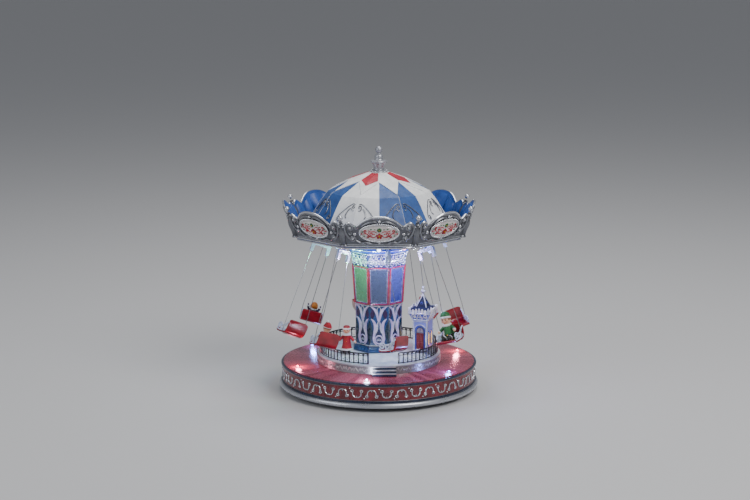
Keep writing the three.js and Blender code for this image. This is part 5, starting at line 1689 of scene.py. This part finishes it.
def headgear(kind, z, color):
    """A rider's head cover over a head centred at height z: a hood, a pointed hat or a round cap."""
    made = Shape()
    brim = lathe([(3.2, -0.9), (4.9, -0.9), (5.4, 0), (4.9, 0.9), (3.2, 0.9)], 28).painted("fur")
    if kind == "hood":
        made.put("ginger", ellipsoid((0, 1.4, z + 0.7), (4.5, 4.5, 4.6), 22, 12))
        for s in (-1, 1):
            made.put("ginger", ellipsoid((s * 3.7, 0.8, z - 1.6), (1.5, 1.9, 2.8), 12, 8))
        return made
    tilt = shift(0, 1.0, z + 2.3) @ turn(-14, "X")
    if kind == "cap":
        crown = lathe([(AXIS, 0.2), (4.5, 0.2), (4.7, 2.2), (3.6, 4.4), (1.6, 5.6), (AXIS, 5.9)],
                      28).painted(color)
        made.join(crown.moved(tilt), brim.moved(tilt))
        return made.put("fur", ball(tilt @ Vector((0, 0, 6.2)), 1.1, 12))
    cone = []
    for t in range(9):
        share = t / 8
        center = Vector((1.9 * share * share, 1.2 * share, 0.3 + 6.4 * math.sin(share * 1.45)))
        radius = 4.6 * (1 - share) ** 0.8 + 0.7
        cone.append([center + Vector((radius * math.cos(a), radius * math.sin(a), 0))
                     for a in angles(20)])
    made.join(skin(cone).moved(tilt).painted(color), brim.moved(tilt))
    return made.put("fur", ball(tilt @ Vector((2.2, 1.3, 6.9)), 1.35, 12))


def rider_shape(letter):
    z0, color = SEAT_TOP, COATS[letter]
    made = lathe([(AXIS, 0.1), (4.9, 0.1), (5.3, 1.2), (5.2, 3.8), (4.6, 7.6), (4.2, 10.4), (3.9, 13),
                  (3.0, 14.8), (AXIS, 15.3)], 28).moved(shift(0, 0.4, z0)).painted(color)
    made.put("fur", lathe([(2.2, 13.4), (3.9, 13.5), (4.5, 14.5), (3.9, 15.5), (2.2, 15.6)], 24)
             .moved(shift(0, 0.4, z0)))
    made.put("boot", strand([(5.2 * math.sin(a), 0.4 - 5.0 * math.cos(a), z0 + 5.4) for a in angles(24)],
                            0.55, 6, closed=True))
    made.put("gold", ellipsoid((0, -4.8, z0 + 5.4), (0.9, 0.5, 0.8), 8, 5))
    made.join(face_of((0, 0.8, z0 + 19), 4.4, hair=HAIRS[letter]))
    made.join(headgear(HATS[letter], z0 + 19, color))
    for s in (-1, 1):
        leg = smooth(sided([(3.0, -0.6, z0 + 2.6), (3.2, -4.6, z0 + 2.9), (3.2, -7.6, z0 + 3.0)], s), 4)
        made.put("boot" if letter == "e" else color, strand(leg, 2.05, 12))
        made.put("boot", ellipsoid((s * 3.2, -7.8, z0 + 3.0), (1.9, 1.7, 2.6), 14, 8))
        made.put("boot", ellipsoid((s * 3.2, -8.2, z0 + 5.2), (1.6, 1.2, 1.2), 12, 8))
        cuff = lathe([(1.5, -0.5), (2.2, -0.5), (2.45, 0), (2.2, 0.5), (1.5, 0.5)], 18)
        made.put("fur", cuff.moved(shift(s * 3.2, -5.8, z0 + 3.0) @ turn(90, "X")))
        bends, cuff_at, hand_at = ARMS_UP if letter == "b" else ARMS_DOWN
        arm = smooth(sided([(x, y, z0 + z) for x, y, z in bends], s), 4)
        made.put(color, strand(arm, 1.6, 12))
        x, y, z = cuff_at
        made.put("fur", ellipsoid((s * x, y, z0 + z), (1.5, 1.6, 1.6), 12, 8))
        x, y, z = hand_at
        made.put(color if letter == "b" else "skin", hand((s * x, y, z0 + z), 1.1))
    return made.moved(shift(0, -1, z0) @ Matrix.Scale(FIGURE_SCALE[letter], 4) @ shift(0, 0, -z0))


def make_swings():
    first = SWINGS[0]
    shared = {
        "fork": (fork_shape(), "fork", "hanger", False),
        "chair": (seat_shell(), "seat", "seat_red", True),
        "arms": (arms_shape(), "fork", "hanger", True),
    }
    stands_for = {"fork": "hanger_", "chair": "seat_"}
    for kind, (shape, color, slot_name, hung) in shared.items():
        for letter in SWINGS:
            name, place = f"{kind}_{letter}", swing_place(letter, hung)
            replaced = [stands_for[kind] + letter] if kind in stands_for else []
            if letter == first:
                original = piece(name, shape, color, f"swing_{letter}", slot_name, replaced, place=place)
            else:
                copy_of(original, name, f"swing_{letter}", place, replaced)
    for letter in SWINGS:
        piece(f"wires_{letter}", wire_shape(letter), "steel", f"swing_{letter}", "steel",
              place=swing_place(letter))
    for letter in HATS:
        slot_name = "coat_green" if letter == "e" else "coat_red"
        piece(f"figure_{letter}", rider_shape(letter), COATS[letter], f"swing_{letter}", slot_name,
              [f"rider_{letter}"], place=swing_place(letter, True))


# ---- CAD parts that are shown as they are --------------------------------------------------------
def finish_cad_parts():
    """Shafts, gears, motor, board and housings keep their CAD shape and take a finish of their own."""
    finishes = {
        "steel": ("main_shaft", "drive_plate", "gear_motor", "switch_body"),
        "nylon": ("drive_gear", "reduction_gear"),
        "brass": ("motor_pinion", "lower_bush", "upper_bush"),
        "board": ("circuit_board",),
        "rubber": ("rubber_foot_1", "rubber_foot_2", "rubber_foot_3", "rubber_foot_4"),
        "plastic": ("bottom_cover", "battery_door", "power_switch", "supply_socket", "speaker"),
    }
    for color, names in finishes.items():
        for name in names:
            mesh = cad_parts[name].data
            mesh.materials.clear()
            mesh.materials.append(PAINT[color])


# ---- Small coloured lights that the lamps throw on the column and the deck ------------------------
def glow_light(name, azimuth, radius, z, color, watts):
    data = bpy.data.lights.new(name, "POINT")
    data.energy, data.color, data.shadow_soft_size = watts, color, 0.003
    light = linked(name, data)
    light.location = polar(azimuth, radius, z) * MM


SPILL_RADIUS, SPILL_HEIGHT = 50, 150
SPILL = ((-45, (0.25, 1.0, 0.45)), (-10, (0.75, 0.8, 1.0)), (20, (0.6, 0.4, 1.0)), (55, (0.8, 0.95, 1.0)),
         (90, (0.3, 0.4, 1.0)), (180, (1.0, 0.7, 0.35)), (-90, (0.3, 0.5, 1.0)))


def make_spill():
    for i, (azimuth, color) in enumerate(SPILL):
        glow_light(f"column_glow_{i + 1}", azimuth, SPILL_RADIUS, SPILL_HEIGHT, color, 0.06)
    for i in range(6):
        tint = ((0.7, 0.8, 1), (0.25, 0.35, 1), (1, 0.25, 0.35))[i % 3]
        glow_light(f"deck_glow_{i + 1}", FIRST_LAMP + 60 * i, LAMP_CIRCLE, DECK_TOP + 4.5, tint, 0.03)


make_base()
make_stage()
make_steps()
make_fence()
make_castle()
make_child()
make_column()
make_canopy_floor()
make_crown()
make_roof()
make_swings()
finish_cad_parts()
make_spill()
